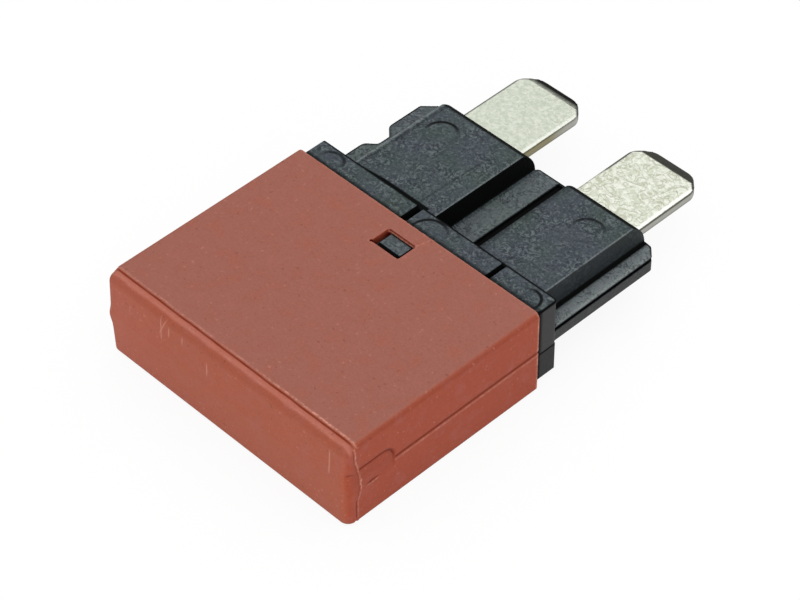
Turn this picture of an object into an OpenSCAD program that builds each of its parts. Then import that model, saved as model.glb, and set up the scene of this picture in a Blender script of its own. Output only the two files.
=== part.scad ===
// Blade circuit breaker: a moulded cap over a moulded base that holds two
// blade terminals, with a bimetal switch inside. Millimetres.
// X runs across the blades, Y from the closed end to the blade tips, and Z
// through the thickness. The origin is under the middle of the whole part.

/* [Cap] */
// Width of the cap, across the blades
cap_w = 20.2; // [19.9:0.1:24]
// Length of the cap, from its closed end to its rim
cap_l = 15.5; // [14.5:0.1:20]
// Thickness of the cap, which is the thickest piece
cap_t = 6.35; // [6.2:0.05:8]
// Wall of the cap
cap_wall = 0.8; // [0.5:0.05:0.9]
// Rounding of the two long edges of the closed end
nose_r = 0.75; // [0.3:0.05:1.2]
// Rounding of the four edges along the cap's sides
edge_r = 0.4; // [0.1:0.05:0.7]
// Rounding of the closed end's upright corners
corner_r = 0.6; // [0.1:0.05:0.7]
// Width of the gate patch in one side of the cap
gate_w = 2.5; // [1:0.1:3]
// Height of the gate patch
gate_h = 2.1; // [1.7:0.1:2.5]
// From the closed end to the gate patch
gate_back = 1.25; // [0.9:0.05:3]
// Rounding of the gate patch's far corners
gate_r = 0.8; // [0.2:0.05:0.8]

/* [Latch] */
// Width of the latch window in each broad face of the cap
window_w = 2.2; // [1.5:0.1:3]
// Length of the latch window
window_l = 1.45; // [1.2:0.05:2]
// From the cap's rim to the window
window_back = 1.15; // [0.8:0.05:1.6]
// Gap between a latch barb and the sides of its window
barb_gap = 0.2; // [0.1:0.05:0.3]
// Gap between a barb's catch and its window
catch_gap = 0.1; // [0.05:0.05:0.2]
// Depth of the barb's top under the cap's face
barb_sink = 0.38; // [0.2:0.02:0.5]

/* [Base] */
// Length of the collar between the cap's rim and the legs
collar_l = 1.75; // [1.2:0.05:3]
// How far the collar's ends stand back from the cap's sides
collar_inset = 0.24; // [0.1:0.02:0.5]
// How far the collar's faces stand back from the cap's faces
collar_step = 0.3; // [0.1:0.05:0.5]
// Rounding of the collar's corners
collar_r = 0.6; // [0.1:0.05:0.8]
// Rounding of the collar's long edges
collar_edge_r = 0.45; // [0.1:0.05:0.6]
// From the middle plane to the collar's parting line
collar_split = 0.55; // [0.3:0.05:0.9]
// Step of the collar's ends past the parting line
collar_lip = 0.1; // [0.05:0.01:0.15]
// Length of the plug inside the cap
plug_l = 3.5; // [3:0.1:4.5]
// Clearance between the plug and the inside of the cap
plug_gap = 0.08; // [0.03:0.01:0.15]
// Thickness of the legs, as in a blade fuse
leg_t = 5.1; // [4.5:0.05:5.6]
// Length of the legs' flat faces
leg_l = 7.7; // [6.5:0.1:12]
// How far the rounded ends of the legs run past their flat faces
nose_l = 1.15; // [0.8:0.05:1.6]
// Radius of the legs' rounded ends
leg_nose_r = 2.15; // [2:0.05:3]
// From the middle plane's centre line to the wide leg's inner wall
wide_in = 0.25; // [0.1:0.05:0.5]
// Outer wall of the wide leg, from the centre line
wide_out = 7.2; // [6.9:0.05:7.5]
// Inner wall of the slim leg, from the centre line
slim_in = 3.25; // [3:0.05:3.6]
// Outer wall of the slim leg, from the centre line
slim_out = 8.65; // [8.2:0.05:8.9]
// Rounding of the legs' long edges
leg_edge_r = 0.1; // [0.05:0.05:0.3]
// Height of the web between the legs, from the middle plane
web_h = 0.9; // [0.75:0.05:1.4]
// From the centre line to the slot in the web
web_slot_x = 1.5; // [1.2:0.05:1.55]
// Width of the slot in the web
web_slot_w = 0.55; // [0.3:0.05:0.6]
// How far the flanges' edges stand back from the cap's sides
flange_inset = 0.45; // [0.3:0.05:0.9]
// Thickness of the side flanges
flange_t = 1.3; // [1:0.05:1.5]
// How far one face of each flange slopes down towards its edge
flange_slope = 0.2; // [0.05:0.05:0.25]
// Height of the groove in the flanges' edges
groove_h = 0.3; // [0.15:0.05:0.35]
// Depth of the groove in the flanges' edges
groove_d = 0.2; // [0.1:0.05:0.3]
// How far the flanges and the web run past the legs' rounded ends
plate_out = 0.15; // [0.05:0.05:0.4]
// Corner cut of the flange beside the wide leg
wide_cut = 0.85; // [0.3:0.05:0.9]
// Corner cut of the flange beside the slim leg
slim_cut = 0.6; // [0.3:0.05:0.75]
// From the collar to the notch in one flange
notch_back = 3.1; // [2:0.1:4.5]
// Length of the notch
notch_l = 2.4; // [1.8:0.1:3]
// Depth of the notch
notch_d = 0.7; // [0.3:0.05:0.9]
// Length of the soft slopes at the notch's ends
notch_slope = 0.8; // [0.3:0.05:0.9]

/* [Terminals] */
// Width of a blade
blade_w = 5.2; // [5:0.05:5.3]
// Thickness of a blade
blade_t = 0.65; // [0.6:0.01:0.8]
// Distance between the blades' centre lines
blade_pitch = 9.65; // [9.6:0.05:9.9]
// Length of blade that stands out of the legs
blade_out = 6.9; // [5:0.1:10]
// Cut of the corners of a blade's tip, at 45 degrees
tip_cut = 1; // [0.4:0.05:1.5]
// Length of the bevels at a blade's tip
bevel_l = 0.55; // [0.2:0.05:0.8]
// Depth of the bevels at a blade's tip
bevel_t = 0.13; // [0.08:0.01:0.25]
// Length of terminal inside the cap, past the plug
inner_l = 8.6; // [8.2:0.1:9]
// Radius of the hole that the moulding fills to lock a terminal
lock_r = 0.9; // [0.5:0.05:1.2]
// From the plug to the place where the right terminal is set down
set_back = 1.2; // [1:0.1:1.5]
// Length of the set-down's slope
set_l = 1.4; // [1:0.1:1.7]

/* [Switch] */
// Width of the bimetal strip
strip_w = 4.6; // [4:0.1:5]
// Thickness of the bimetal strip
strip_t = 0.25; // [0.15:0.01:0.3]
// From the terminals' inner ends to the strip's centre line
strip_back = 2.8; // [2.6:0.05:3]
// Strip past the clamp plate's outer edge
strip_tail = 0.3; // [0.1:0.05:0.4]
// Strip past the moving contact's head
strip_tip = 0.6; // [0.3:0.05:0.8]
// Flat strip between the clamp plate and the bow
bow_in = 0.9; // [0.5:0.1:1.2]
// Flat strip between the bow and the moving contact's head
bow_gap = 0.5; // [0.3:0.05:0.8]
// Rise of the strip's bow at its middle
bow_h = 0.45; // [0.2:0.05:0.6]
// From the left blade's centre line to the clamp plate's outer edge
clamp_out = 1.9; // [1.6:0.1:2.1]
// Length of strip held under the clamp plate
clamp_l = 2; // [1.8:0.1:2.4]
// Thickness of the clamp plate
clamp_t = 0.4; // [0.3:0.05:0.6]
// Radius of a contact's head
contact_r = 1.1; // [0.9:0.05:1.3]
// Height of a contact's head
contact_h = 0.5; // [0.4:0.05:0.55]
// Radius of a contact's shank
shank_r = 0.5; // [0.4:0.05:0.6]
// Radius of an anchor rivet's shank
rivet_r = 0.4; // [0.3:0.05:0.45]
// Distance between the two anchor rivets
rivet_pitch = 2.4; // [2:0.1:2.6]
// Clearance of a shank in its hole
shank_gap = 0.03; // [0.02:0.01:0.06]
// Height of a rivet's closed head
tail_h = 0.28; // [0.2:0.02:0.34]
// Radius of a contact's closed head
tail_r = 0.8; // [0.7:0.05:1]
// Radius of an anchor rivet's heads
rivet_head_r = 0.7; // [0.6:0.05:0.8]
// How much a closed head narrows towards its top
head_taper = 0.2; // [0.1:0.02:0.3]

/* [Hidden] */
$fn = 64;
eps = 0.01;                                  // overshoot of a cut past a face
part_l = cap_l + collar_l + leg_l + nose_l + blade_out;
mid_z = cap_t / 2;
cave_w = cap_w - 2 * cap_wall;               // inside of the cap
cave_t = cap_t - 2 * cap_wall;
cave_r = 0.3;
plug_w = cave_w - 2 * plug_gap;
plug_t = cave_t - 2 * plug_gap;
plug_y = cap_l - plug_l;                     // inner face of the plug
collar_w = cap_w - 2 * collar_inset;
collar_t = cap_t - 2 * collar_step;
flange_w = cap_w - 2 * flange_inset;         // over the two flanges
leg_y = cap_l + collar_l;                    // the legs start here
nose_y = leg_y + leg_l + nose_l;             // and end here
plate_y = nose_y + plate_out;                // where the web and the flanges end
window_y = cap_l - window_back - window_l;
gate_depth = 0.08;
barb_w = window_w - 2 * barb_gap;
barb_l = window_l - catch_gap;
barb_h = mid_z - barb_sink;                  // barb's top, from the middle plane
barb_ramp = barb_h - plug_t / 2;             // the ramp rises at 45 degrees
web_slot_floor = 0.1;                        // above the middle plane
web_slot_end = 0.2;                          // wall that closes the slot
groove_z = -0.1;                             // lower wall of the flanges' grooves
notch_steps = 24;
slit_d = 1.2;                                // the collar's two slits: depth,
slit_x = [-1.55, 5.45];                      // left edges
slit_w = [0.5, 0.35];                        // and widths
mark_d = 0.08;                               // depth of the ejector pin marks
leg_marks = [[-5.35, 2.0, 1.0], [6.7, 1.9, 1.0]];            // x, from the end of the flat, radius
collar_marks = [[-7.95, 0.6, 0.87], [0.6, 0.4, 1.1], [8.5, 0.5, 0.87]]; // x, from the rim, radius
term_y = plug_y - inner_l;                   // inner end of the terminals
inner_r = 0.4;                               // rounding there
set_down = 2 * contact_h;                    // how far the right inner end is set down
set_y = plug_y - set_back;                   // the set-down starts here
strip_y = term_y + strip_back;               // centre line of the strip
strip_z = mid_z + blade_t / 2;               // underside of its flat ends
contact_x = blade_pitch / 2;
clamp_x = -blade_pitch / 2 - clamp_out;            // outer edge of the clamp plate
bow_x0 = clamp_x + clamp_l + bow_in;         // the bow runs from here
bow_x1 = contact_x - contact_r - bow_gap;    // to here
strip_x0 = clamp_x - strip_tail;
strip_x1 = contact_x + contact_r + strip_tip;
bow_steps = 24;
rivet_x = clamp_x + clamp_l / 2;

// Everything below is drawn from the closed end, and placed moves it so that
// the origin is under the middle of the part.
module placed() {
    translate([0, -part_l / 2, 0]) children();
}

// Flat shapes carried along an axis: x, y of the shape become Y, Z or X, Z or X, Y.
module along_x(w) {
    translate([-w / 2, 0, 0]) rotate([90, 0, 90]) linear_extrude(w) children();
}

module along_y(y0, l) {
    translate([0, y0 + l, 0]) rotate([90, 0, 0]) linear_extrude(l) children();
}

module along_z(z0, t) {
    translate([0, 0, z0]) linear_extrude(t) children();
}

// Rectangle about the origin with true round corners.
module round_rect(w, h, r) {
    square([w - 2 * r, h], center = true);
    square([w, h - 2 * r], center = true);
    for (x = [-1, 1], y = [-1, 1])
        translate([x * (w / 2 - r), y * (h / 2 - r)]) circle(r);
}

// Rectangle on y = 0 whose two corners at y0 or y1 are round.
module round_end(w, y0, y1, r, at_start) {
    inner = at_start ? y0 + r : y1 - r;
    translate([-w / 2, at_start ? inner : y0]) square([w, y1 - y0 - r]);
    translate([-w / 2 + r, y0]) square([w - 2 * r, y1 - y0]);
    for (x = [-1, 1])
        translate([x * (w / 2 - r), inner]) circle(r);
}

// A box rounded along its sides, its closed end's long edges and its corners.
module cup(w, t, y0, y1, side, front, corner) {
    intersection() {
        along_y(y0, y1 - y0) translate([0, mid_z]) round_rect(w, t, side);
        along_z(mid_z - t / 2, t) round_end(w, y0, y1, corner, true);
        along_x(w) translate([0, mid_z]) rotate(-90) round_end(t, y0, y1, front, true);
    }
}

module cap() {
    color("#a05a4a") placed() difference() {
        cup(cap_w, cap_t, 0, cap_l, edge_r, nose_r, corner_r);
        cup(cave_w, cave_t, cap_wall, cap_l + eps, cave_r, cave_r, cave_r);
        translate([-window_w / 2, window_y, -eps])
            cube([window_w, window_l, cap_t + 2 * eps]);
        translate([cap_w - gate_depth, 0, mid_z])
            along_x(cap_w) rotate(-90) round_end(gate_h, gate_back, gate_back + gate_w, gate_r, false);
    }
}

// The barb that rises through the cap's window: a ramp, a flat and a catch.
module barb() {
    along_x(barb_w) translate([window_y, mid_z])
        polygon([[0, 0], [0, plug_t / 2], [barb_ramp, barb_h], [barb_l, barb_h], [barb_l, 0]]);
}

// Side view of the legs: flat faces that end in large rounds above and below
// the flanges.
module leg_side_view() {
    round_y = nose_y - leg_nose_r;
    intersection() {
        translate([leg_y - eps, -leg_t / 2]) square([nose_y - leg_y + eps, leg_t]);
        union() {
            translate([leg_y - eps, -leg_t / 2]) square([round_y - leg_y + eps, leg_t]);
            translate([leg_y - eps, -flange_t / 2]) square([nose_y - leg_y + eps, flange_t]);
            for (z = [-1, 1])
                translate([round_y, z * flange_t / 2]) circle(leg_nose_r);
        }
    }
}

// End view of the legs, the same when it is turned half a turn.
module leg_end_view() {
    for (turn = [0, 180], leg = [[-wide_out, -wide_in], [slim_in, slim_out]])
        rotate(turn) translate([(leg[0] + leg[1]) / 2, 0])
            round_end(leg[1] - leg[0], 0, leg_t / 2, leg_edge_r, false);
}

// End view of the flanges, which have a sloping face and a grooved edge, and
// of the web between the legs.
module plate_end_view() {
    half = flange_w / 2;
    h = flange_t / 2;
    for (turn = [0, 180]) rotate(turn) {
        polygon([[-wide_in, h], [slim_out, h], [half, h - flange_slope], [half, groove_z + groove_h],
                 [half - groove_d, groove_z + groove_h], [half - groove_d, groove_z], [half, groove_z],
                 [half, -h], [-wide_in, -h]]);
        translate([-wide_in, 0]) square([wide_in + slim_in, web_h]);
    }
}

// 0 to 1 by half a cosine wave, and the notch's outline made of two of them.
function ease(t) = (1 - cos(180 * max(0, min(1, t)))) / 2;
function notch_depth(y) = notch_d * ease(y / notch_slope) * ease((notch_l - y) / notch_slope);

// Plan of the flanges and the web, with cut corners and the notch.
module plate_plan() {
    half = flange_w / 2;
    difference() {
        polygon([[-half, leg_y - collar_r], [half, leg_y - collar_r], [half, plate_y - slim_cut],
                 [half - slim_cut, plate_y], [wide_cut - half, plate_y], [-half, plate_y - wide_cut]]);
        translate([-half, leg_y + notch_back])
            polygon(concat([[-eps, 0]],
                           [for (i = [0:notch_steps])
                               let (y = notch_l * i / notch_steps) [notch_depth(y), y]],
                           [[-eps, notch_l]]));
    }
}

module legs() {
    intersection() {
        along_x(flange_w) translate([0, mid_z]) leg_side_view();
        along_y(leg_y - eps, nose_y - leg_y + eps) translate([0, mid_z]) leg_end_view();
    }
    intersection() {
        along_y(leg_y - collar_r, plate_y - leg_y + collar_r) translate([0, mid_z]) plate_end_view();
        along_z(0, cap_t) plate_plan();
    }
}

// End view of the collar. Each end steps in past its parting line, one below
// the middle and the other above it.
module collar_end_view() {
    round_rect(collar_w - 2 * collar_lip, collar_t, collar_edge_r);
    for (turn = [0, 180]) rotate(turn) intersection() {
        round_rect(collar_w, collar_t, collar_edge_r);
        translate([0, -collar_split]) square([collar_w, collar_t]);
    }
}

module collar() {
    intersection() {
        along_y(cap_l, collar_l) translate([0, mid_z]) collar_end_view();
        along_z(0, cap_t) round_end(collar_w, cap_l, leg_y, collar_r, false);
    }
}

// Slots, slits and pin marks of one face of the base.
module face_cuts() {
    translate([web_slot_x, leg_y, web_slot_floor])
        cube([web_slot_w, plate_y - leg_y - web_slot_end, web_h]);
    for (i = [0, 1])
        translate([slit_x[i], cap_l - eps, collar_t / 2 - slit_d])
            cube([slit_w[i], collar_l + eps, slit_d + eps]);
    for (m = leg_marks)
        translate([m[0], leg_y + leg_l - m[1], leg_t / 2 - mark_d]) cylinder(h = 1, r = m[2]);
    for (m = collar_marks)
        translate([m[0], cap_l + m[1], collar_t / 2 - mark_d]) cylinder(h = 1, r = m[2]);
}

module base() {
    color("#464b4d") placed() difference() {
        union() {
            along_y(plug_y, plug_l + eps) translate([0, mid_z]) round_rect(plug_w, plug_t, cave_r);
            collar();
            legs();
            for (turn = [0, 180])
                translate([0, 0, mid_z]) rotate([0, turn, 0]) translate([0, 0, -mid_z]) barb();
        }
        for (turn = [0, 180])
            translate([0, 0, mid_z]) rotate([0, turn, 0]) face_cuts();
        terminal(-1, 0);
        terminal(1, set_down);
    }
}

// A terminal's side view: bevelled tip, flat blade and an inner end that may be
// set down.
module terminal_side_view(drop) {
    h = blade_t / 2;
    polygon([[term_y, -h - drop], [set_y - set_l, -h - drop], [set_y, -h], [part_l - bevel_l, -h],
             [part_l, bevel_t - h], [part_l, h - bevel_t], [part_l - bevel_l, h], [set_y, h],
             [set_y - set_l, h - drop], [term_y, h - drop]]);
}

// Plan of a terminal: round corners inside the cap and cut corners at the tip.
module terminal_plan() {
    half = blade_w / 2;
    round_end(blade_w, term_y, plug_y, inner_r, true);
    polygon([[-half, plug_y - eps], [half, plug_y - eps], [half, part_l - tip_cut], [half - tip_cut, part_l],
             [tip_cut - half, part_l], [-half, part_l - tip_cut]]);
}

module terminal(side, drop) {
    translate([side * blade_pitch / 2, 0, 0]) difference() {
        intersection() {
            along_x(blade_w) translate([0, mid_z]) terminal_side_view(drop);
            along_z(0, cap_t) terminal_plan();
        }
        translate([0, plug_y + plug_l / 2, 0]) cylinder(h = cap_t, r = lock_r);
    }
}

module at_rivets() {
    for (side = [-1, 1])
        translate([rivet_x, strip_y + side * rivet_pitch / 2, 0]) children();
}

module at_contact() {
    translate([contact_x, strip_y, 0]) children();
}

module terminal_left() {
    color("#c9c8b8") placed() difference() {
        terminal(-1, 0);
        at_rivets() cylinder(h = cap_t, r = rivet_r + shank_gap);
    }
}

module terminal_right() {
    color("#c9c8b8") placed() difference() {
        terminal(1, set_down);
        at_contact() cylinder(h = cap_t, r = shank_r + shank_gap);
    }
}

// Height of the strip's underside over its flat ends, a cosine bow.
function bow(x) = x <= bow_x0 || x >= bow_x1 ? 0
    : bow_h * (1 - cos(360 * (x - bow_x0) / (bow_x1 - bow_x0))) / 2;

module bimetal_strip() {
    xs = concat([strip_x0], [for (i = [0:bow_steps]) bow_x0 + (bow_x1 - bow_x0) * i / bow_steps], [strip_x1]);
    color("#b5a27a") placed() difference() {
        along_y(strip_y - strip_w / 2, strip_w) translate([0, strip_z])
            polygon(concat([for (x = xs) [x, bow(x)]],
                           [for (i = [len(xs) - 1:-1:0]) [xs[i], bow(xs[i]) + strip_t]]));
        at_rivets() cylinder(h = cap_t, r = rivet_r + shank_gap);
        at_contact() cylinder(h = cap_t, r = shank_r + shank_gap);
    }
}

module clamp_plate() {
    color("#b08d57") placed() difference() {
        along_z(strip_z + strip_t, clamp_t)
            translate([clamp_x, strip_y - strip_w / 2]) square([clamp_l, strip_w]);
        at_rivets() cylinder(h = cap_t, r = rivet_r + shank_gap);
    }
}

module anchor_rivets() {
    bottom = strip_z - blade_t;
    top = strip_z + strip_t + clamp_t;
    color("#b08d57") placed() at_rivets() {
        translate([0, 0, bottom - tail_h]) cylinder(h = tail_h, r1 = rivet_head_r - head_taper, r2 = rivet_head_r);
        translate([0, 0, bottom - eps]) cylinder(h = top - bottom + 2 * eps, r = rivet_r);
        translate([0, 0, top]) cylinder(h = tail_h, r1 = rivet_head_r, r2 = rivet_head_r - head_taper);
    }
}

module fixed_contact() {
    pad_top = strip_z - set_down;
    color("#d8d8d4") placed() at_contact() {
        translate([0, 0, pad_top]) contact_head();
        translate([0, 0, pad_top - blade_t - eps]) cylinder(h = blade_t + 2 * eps, r = shank_r);
        translate([0, 0, pad_top - blade_t - tail_h]) cylinder(h = tail_h, r1 = tail_r - head_taper, r2 = tail_r);
    }
}

// A contact's head, its flat working face upwards.
module contact_head() {
    chamfer = 0.15;
    cylinder(h = contact_h - chamfer, r = contact_r);
    translate([0, 0, contact_h - chamfer]) cylinder(h = chamfer, r1 = contact_r, r2 = contact_r - chamfer);
}

module moving_contact() {
    color("#d8d8d4") placed() at_contact() {
        translate([0, 0, strip_z]) mirror([0, 0, 1]) contact_head();
        translate([0, 0, strip_z - eps]) cylinder(h = strip_t + 2 * eps, r = shank_r);
        translate([0, 0, strip_z + strip_t]) cylinder(h = tail_h, r1 = tail_r, r2 = tail_r - head_taper);
    }
}

cap();
base();
terminal_left();
terminal_right();
bimetal_strip();
clamp_plate();
anchor_rivets();
fixed_contact();
moving_contact();
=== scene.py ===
# %% [markdown]
# A blade circuit breaker, dressed for its picture.
#
# The object is small: a red moulded cap, 20 mm wide, pushed over a black moulded base, with two tinned
# blades that stand out of the base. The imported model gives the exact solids. This notebook gives them
# their looks: edges that a mould leaves, flash and witness lines, spark eroded grain and mottled tin.
#
# Everything is written in millimetres, because that is how a moulding is drawn, and only the last step
# of each piece turns it into Blender's metres.

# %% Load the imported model
import bpy
import numpy as np
from mathutils import Matrix, Vector
from types import SimpleNamespace


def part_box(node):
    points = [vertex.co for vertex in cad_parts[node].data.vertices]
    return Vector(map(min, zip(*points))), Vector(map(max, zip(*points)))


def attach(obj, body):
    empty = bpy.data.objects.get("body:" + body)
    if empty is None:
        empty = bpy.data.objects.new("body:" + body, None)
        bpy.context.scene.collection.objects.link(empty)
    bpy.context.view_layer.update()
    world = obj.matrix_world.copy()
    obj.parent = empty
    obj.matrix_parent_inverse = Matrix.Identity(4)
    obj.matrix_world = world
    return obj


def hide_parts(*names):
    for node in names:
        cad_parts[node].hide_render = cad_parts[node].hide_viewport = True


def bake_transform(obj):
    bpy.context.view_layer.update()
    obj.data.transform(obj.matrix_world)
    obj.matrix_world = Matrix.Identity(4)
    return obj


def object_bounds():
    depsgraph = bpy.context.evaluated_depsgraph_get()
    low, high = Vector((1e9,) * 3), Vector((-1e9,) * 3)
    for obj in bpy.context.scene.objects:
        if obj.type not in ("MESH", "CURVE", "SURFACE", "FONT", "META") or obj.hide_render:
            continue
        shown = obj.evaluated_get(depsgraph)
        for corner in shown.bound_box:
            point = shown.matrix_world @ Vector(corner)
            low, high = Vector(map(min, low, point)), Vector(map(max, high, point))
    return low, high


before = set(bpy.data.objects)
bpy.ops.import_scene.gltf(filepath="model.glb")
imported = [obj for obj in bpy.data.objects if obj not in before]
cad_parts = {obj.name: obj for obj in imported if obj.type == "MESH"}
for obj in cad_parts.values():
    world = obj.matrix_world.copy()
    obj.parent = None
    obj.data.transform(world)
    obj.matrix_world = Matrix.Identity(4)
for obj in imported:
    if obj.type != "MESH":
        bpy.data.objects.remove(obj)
cad_low, cad_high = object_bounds()
MM = 0.001
low = np.array(cad_low) / MM
high = np.array(cad_high) / MM
print("The solids span", np.round(high - low, 2), "mm")

# %% [markdown]
# The camera comes first, because every later step is judged through it. The photograph was taken from
# high on one side with a long lens, so the object's edges run almost parallel. The numbers below are the
# direction, the distance and the lens that put the cap's edges where the photograph has them.

# %% Camera
VIEW_AZIMUTH = 45.69
VIEW_ELEVATION = 44.54
VIEW_ROLL = -0.335
VIEW_DISTANCE = 181.74
VIEW_AIM = np.array([1.347, -3.675, 3.175])
LENS = 139.1
SENSOR = 36.0


def camera_axes(azimuth, elevation, roll):
    """Right, up and backward unit vectors: azimuth 0 looks along +Y, and roll turns the picture."""
    a, e, t = np.radians([azimuth, elevation, roll])
    back = np.array([np.sin(a) * np.cos(e), -np.cos(a) * np.cos(e), np.sin(e)])
    right = np.cross(-back, [0, 0, 1])
    right /= np.linalg.norm(right)
    up = np.cross(back, right)
    return np.cos(t) * right + np.sin(t) * up, np.cos(t) * up - np.sin(t) * right, back


def make_camera():
    """A camera whose matrix has those three vectors as columns and its place as the fourth."""
    right, up, back = camera_axes(VIEW_AZIMUTH, VIEW_ELEVATION, VIEW_ROLL)
    data = bpy.data.cameras.new("studio_camera")
    data.lens = LENS
    data.sensor_width = SENSOR
    data.clip_start = 0.01
    data.clip_end = 10
    camera = bpy.data.objects.new("studio_camera", data)
    bpy.context.scene.collection.objects.link(camera)
    place = (VIEW_AIM + back * VIEW_DISTANCE) * MM
    matrix = np.identity(4)
    matrix[:3, 0] = right
    matrix[:3, 1] = up
    matrix[:3, 2] = back
    matrix[:3, 3] = place
    camera.matrix_world = Matrix(matrix.tolist())
    bpy.context.scene.camera = camera
    return camera


camera = make_camera()
print("Camera at", np.round(np.array(camera.location) / MM, 1), "mm")

# %% [markdown]
# A material here is a small graph of nodes. One helper turns a colour as a screen shows it into the
# linear light that Blender mixes, one adds a node with its settings and links, one lays covers of colour
# over a base, and one turns a size in millimetres into the scale that gives a pattern of that size, since
# Object coordinates are metres.
#
# Hair-thin marks, such as scratches and the rings of ejector pins, are finer than any sensible mesh. They
# are masks that the material works out from the coordinates: how far a point is from a line or a circle.
# The rings are painted shadow, darkest on one side of each shallow recess.

# %% Helpers for materials


def linear(code):
    """An sRGB hex colour as linear red, green, blue and alpha: the sRGB curve undone."""
    v = np.array([int(code[i:i + 2], 16) for i in (1, 3, 5)]) / 255
    v = np.where(v <= 0.04045, v / 12.92, ((v + 0.055) / 1.055) ** 2.4)
    return (*v, 1.0)


def size_mm(size):
    """The texture scale at which one feature of a pattern is that many millimetres across."""
    return 1 / (size * MM)


def live(sockets, key=None):
    """The first socket in use, or the one at that place or with that name."""
    if isinstance(key, int):
        return sockets[key]
    return next(s for s in sockets if s.enabled and key in (None, s.name))


def add(tree, kind, inputs=None, **settings):
    """Adds a node. An input is a value, a socket, or a node, which stands for its first output."""
    node = tree.nodes.new("ShaderNode" + kind)
    for key, value in settings.items():
        setattr(node, key, value)
    for key, value in (inputs or {}).items():
        socket = live(node.inputs, key)
        if isinstance(value, bpy.types.Node):
            value = live(value.outputs)
        if isinstance(value, bpy.types.NodeSocket):
            tree.links.new(value, socket)
        else:
            socket.default_value = value
    return node


def new_material(name, *masks):
    """An empty node material, its tree, its Object coordinates, and the mesh's masks by their names."""
    material = bpy.data.materials.new(name)
    material.use_nodes = True
    tree = material.node_tree
    tree.nodes.clear()
    where = add(tree, "TexCoord").outputs["Object"]
    return material, tree, where, {mask: add(tree, "Attribute", attribute_name=mask).outputs["Fac"]
                                   for mask in masks}


def layered(tree, base, *covers):
    """A colour with covers laid over it in turn, each a share from 0 to 1 and its own colour."""
    base = linear(base)
    for share, code in covers:
        base = add(tree, "Mix", {"Factor": share, "A": base, "B": linear(code)}, data_type="RGBA")
    return base


def thin_line(tree, off, half_width):
    """1 on a line and 0 beyond its half width in millimetres, from a signed distance in metres."""
    off = add(tree, "Math", {0: off}, operation="ABSOLUTE")
    return add(tree, "MapRange", {"Value": off, "From Min": half_width * MM,
                                  "From Max": half_width * 0.4 * MM})


def stroke(tree, u, v, start, end, half_width, strength):
    """A straight stroke from one point to another, given as (u, v) in millimetres; v must change."""
    slope = (end[0] - start[0]) / (end[1] - start[1])
    shift = (start[1] * slope - start[0]) * MM
    off = add(tree, "Math", {0: v, 1: -slope, 2: shift}, operation="MULTIPLY_ADD")
    mask = thin_line(tree, add(tree, "Math", {0: off, 1: u}, operation="ADD"), half_width)
    for edge, fade in ((min(start[1], end[1]), 0.15), (max(start[1], end[1]), -0.15)):
        mask = add(tree, "MapRange", {"Value": v, "From Min": (edge - fade) * MM,
                                      "From Max": (edge + fade) * MM, "To Max": mask})
    return add(tree, "Math", {0: mask, 1: strength}, operation="MULTIPLY")


def arc(tree, flat, centre, radius, darkest, half_width, strength):
    """A painted shadow on a circle: darkest in one direction, an angle from +X, and a trace opposite."""
    arm = add(tree, "VectorMath", {0: flat, 1: (centre[0] * MM, centre[1] * MM, 0)}, operation="SUBTRACT")
    away = add(tree, "VectorMath", {0: arm}, operation="LENGTH")
    ring = thin_line(tree, add(tree, "Math", {0: away, 1: radius * MM}, operation="SUBTRACT"), half_width)
    a = np.radians(darkest)
    lean = add(tree, "VectorMath", {0: arm, 1: (np.cos(a), np.sin(a), 0)}, operation="DOT_PRODUCT")
    trace = add(tree, "Math", {0: ring, 1: 0.15 * strength}, operation="MULTIPLY")
    full = add(tree, "Math", {0: ring, 1: strength}, operation="MULTIPLY")
    return add(tree, "MapRange", {"Value": lean, "From Min": 0.0, "From Max": 0.75 * radius * MM,
                                  "To Min": trace, "To Max": full})


print("A pattern 0.1 mm across has the scale", size_mm(0.1))

# %% [markdown]
# The floor is a pale sheet that keeps a soft shadow. What the camera and the shiny surfaces see of it is
# mostly its own white, so the background is white without more light on the object. The main light is a
# wide softbox overhead, as bright faces and dark steep edges in the photograph say, and a weaker one in
# front lights the upright faces. A softbox is given by its brightness, because that is what a shiny face
# shows of it.

# %% Floor, world and lamps
FLOOR_GAP = 0.01
FLOOR_SIZE = 4000.0
FLOOR_OWN_WHITE = 0.9
WORLD_LIGHT = 0.3


def floor_sheet():
    """A flat square just under the object, white of its own with the shadow mixed in."""
    half = FLOOR_SIZE / 2
    corners = np.array([[-1, -1], [1, -1], [1, 1], [-1, 1]]) * half
    points = np.column_stack([corners, np.full(4, low[2] - FLOOR_GAP)])
    mesh = bpy.data.meshes.new("floor_sheet")
    mesh.from_pydata(points * MM, [], [(0, 1, 2, 3)])
    sheet = bpy.data.objects.new("floor_sheet", mesh)
    bpy.context.scene.collection.objects.link(sheet)
    material, tree, _, _ = new_material("matt_white_paper")
    path = add(tree, "LightPath").outputs
    seen = add(tree, "Math", {0: path["Is Camera Ray"], 1: path["Is Glossy Ray"]}, operation="MAXIMUM")
    seen = add(tree, "Math", {0: seen, 1: path["Is Transmission Ray"]}, operation="MAXIMUM")
    share = add(tree, "Math", {0: seen, 1: FLOOR_OWN_WHITE}, operation="MULTIPLY")
    paper = add(tree, "BsdfDiffuse", {"Color": linear("#f6f6f6")})
    white = add(tree, "Emission", {"Color": (1, 1, 1, 1), "Strength": 1.0})
    add(tree, "OutputMaterial", {"Surface": add(tree, "MixShader", {0: share, 1: paper, 2: white})})
    mesh.materials.append(material)


def grey_room():
    """A plain world, the same in every direction, that lifts the shadows a little."""
    world = bpy.data.worlds.new("grey_room")
    world.use_nodes = True
    tree = world.node_tree
    tree.nodes.clear()
    room = add(tree, "Background", {"Color": (1, 1, 1, 1), "Strength": WORLD_LIGHT})
    add(tree, "OutputWorld", {"Surface": room})
    bpy.context.scene.world = world


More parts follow.
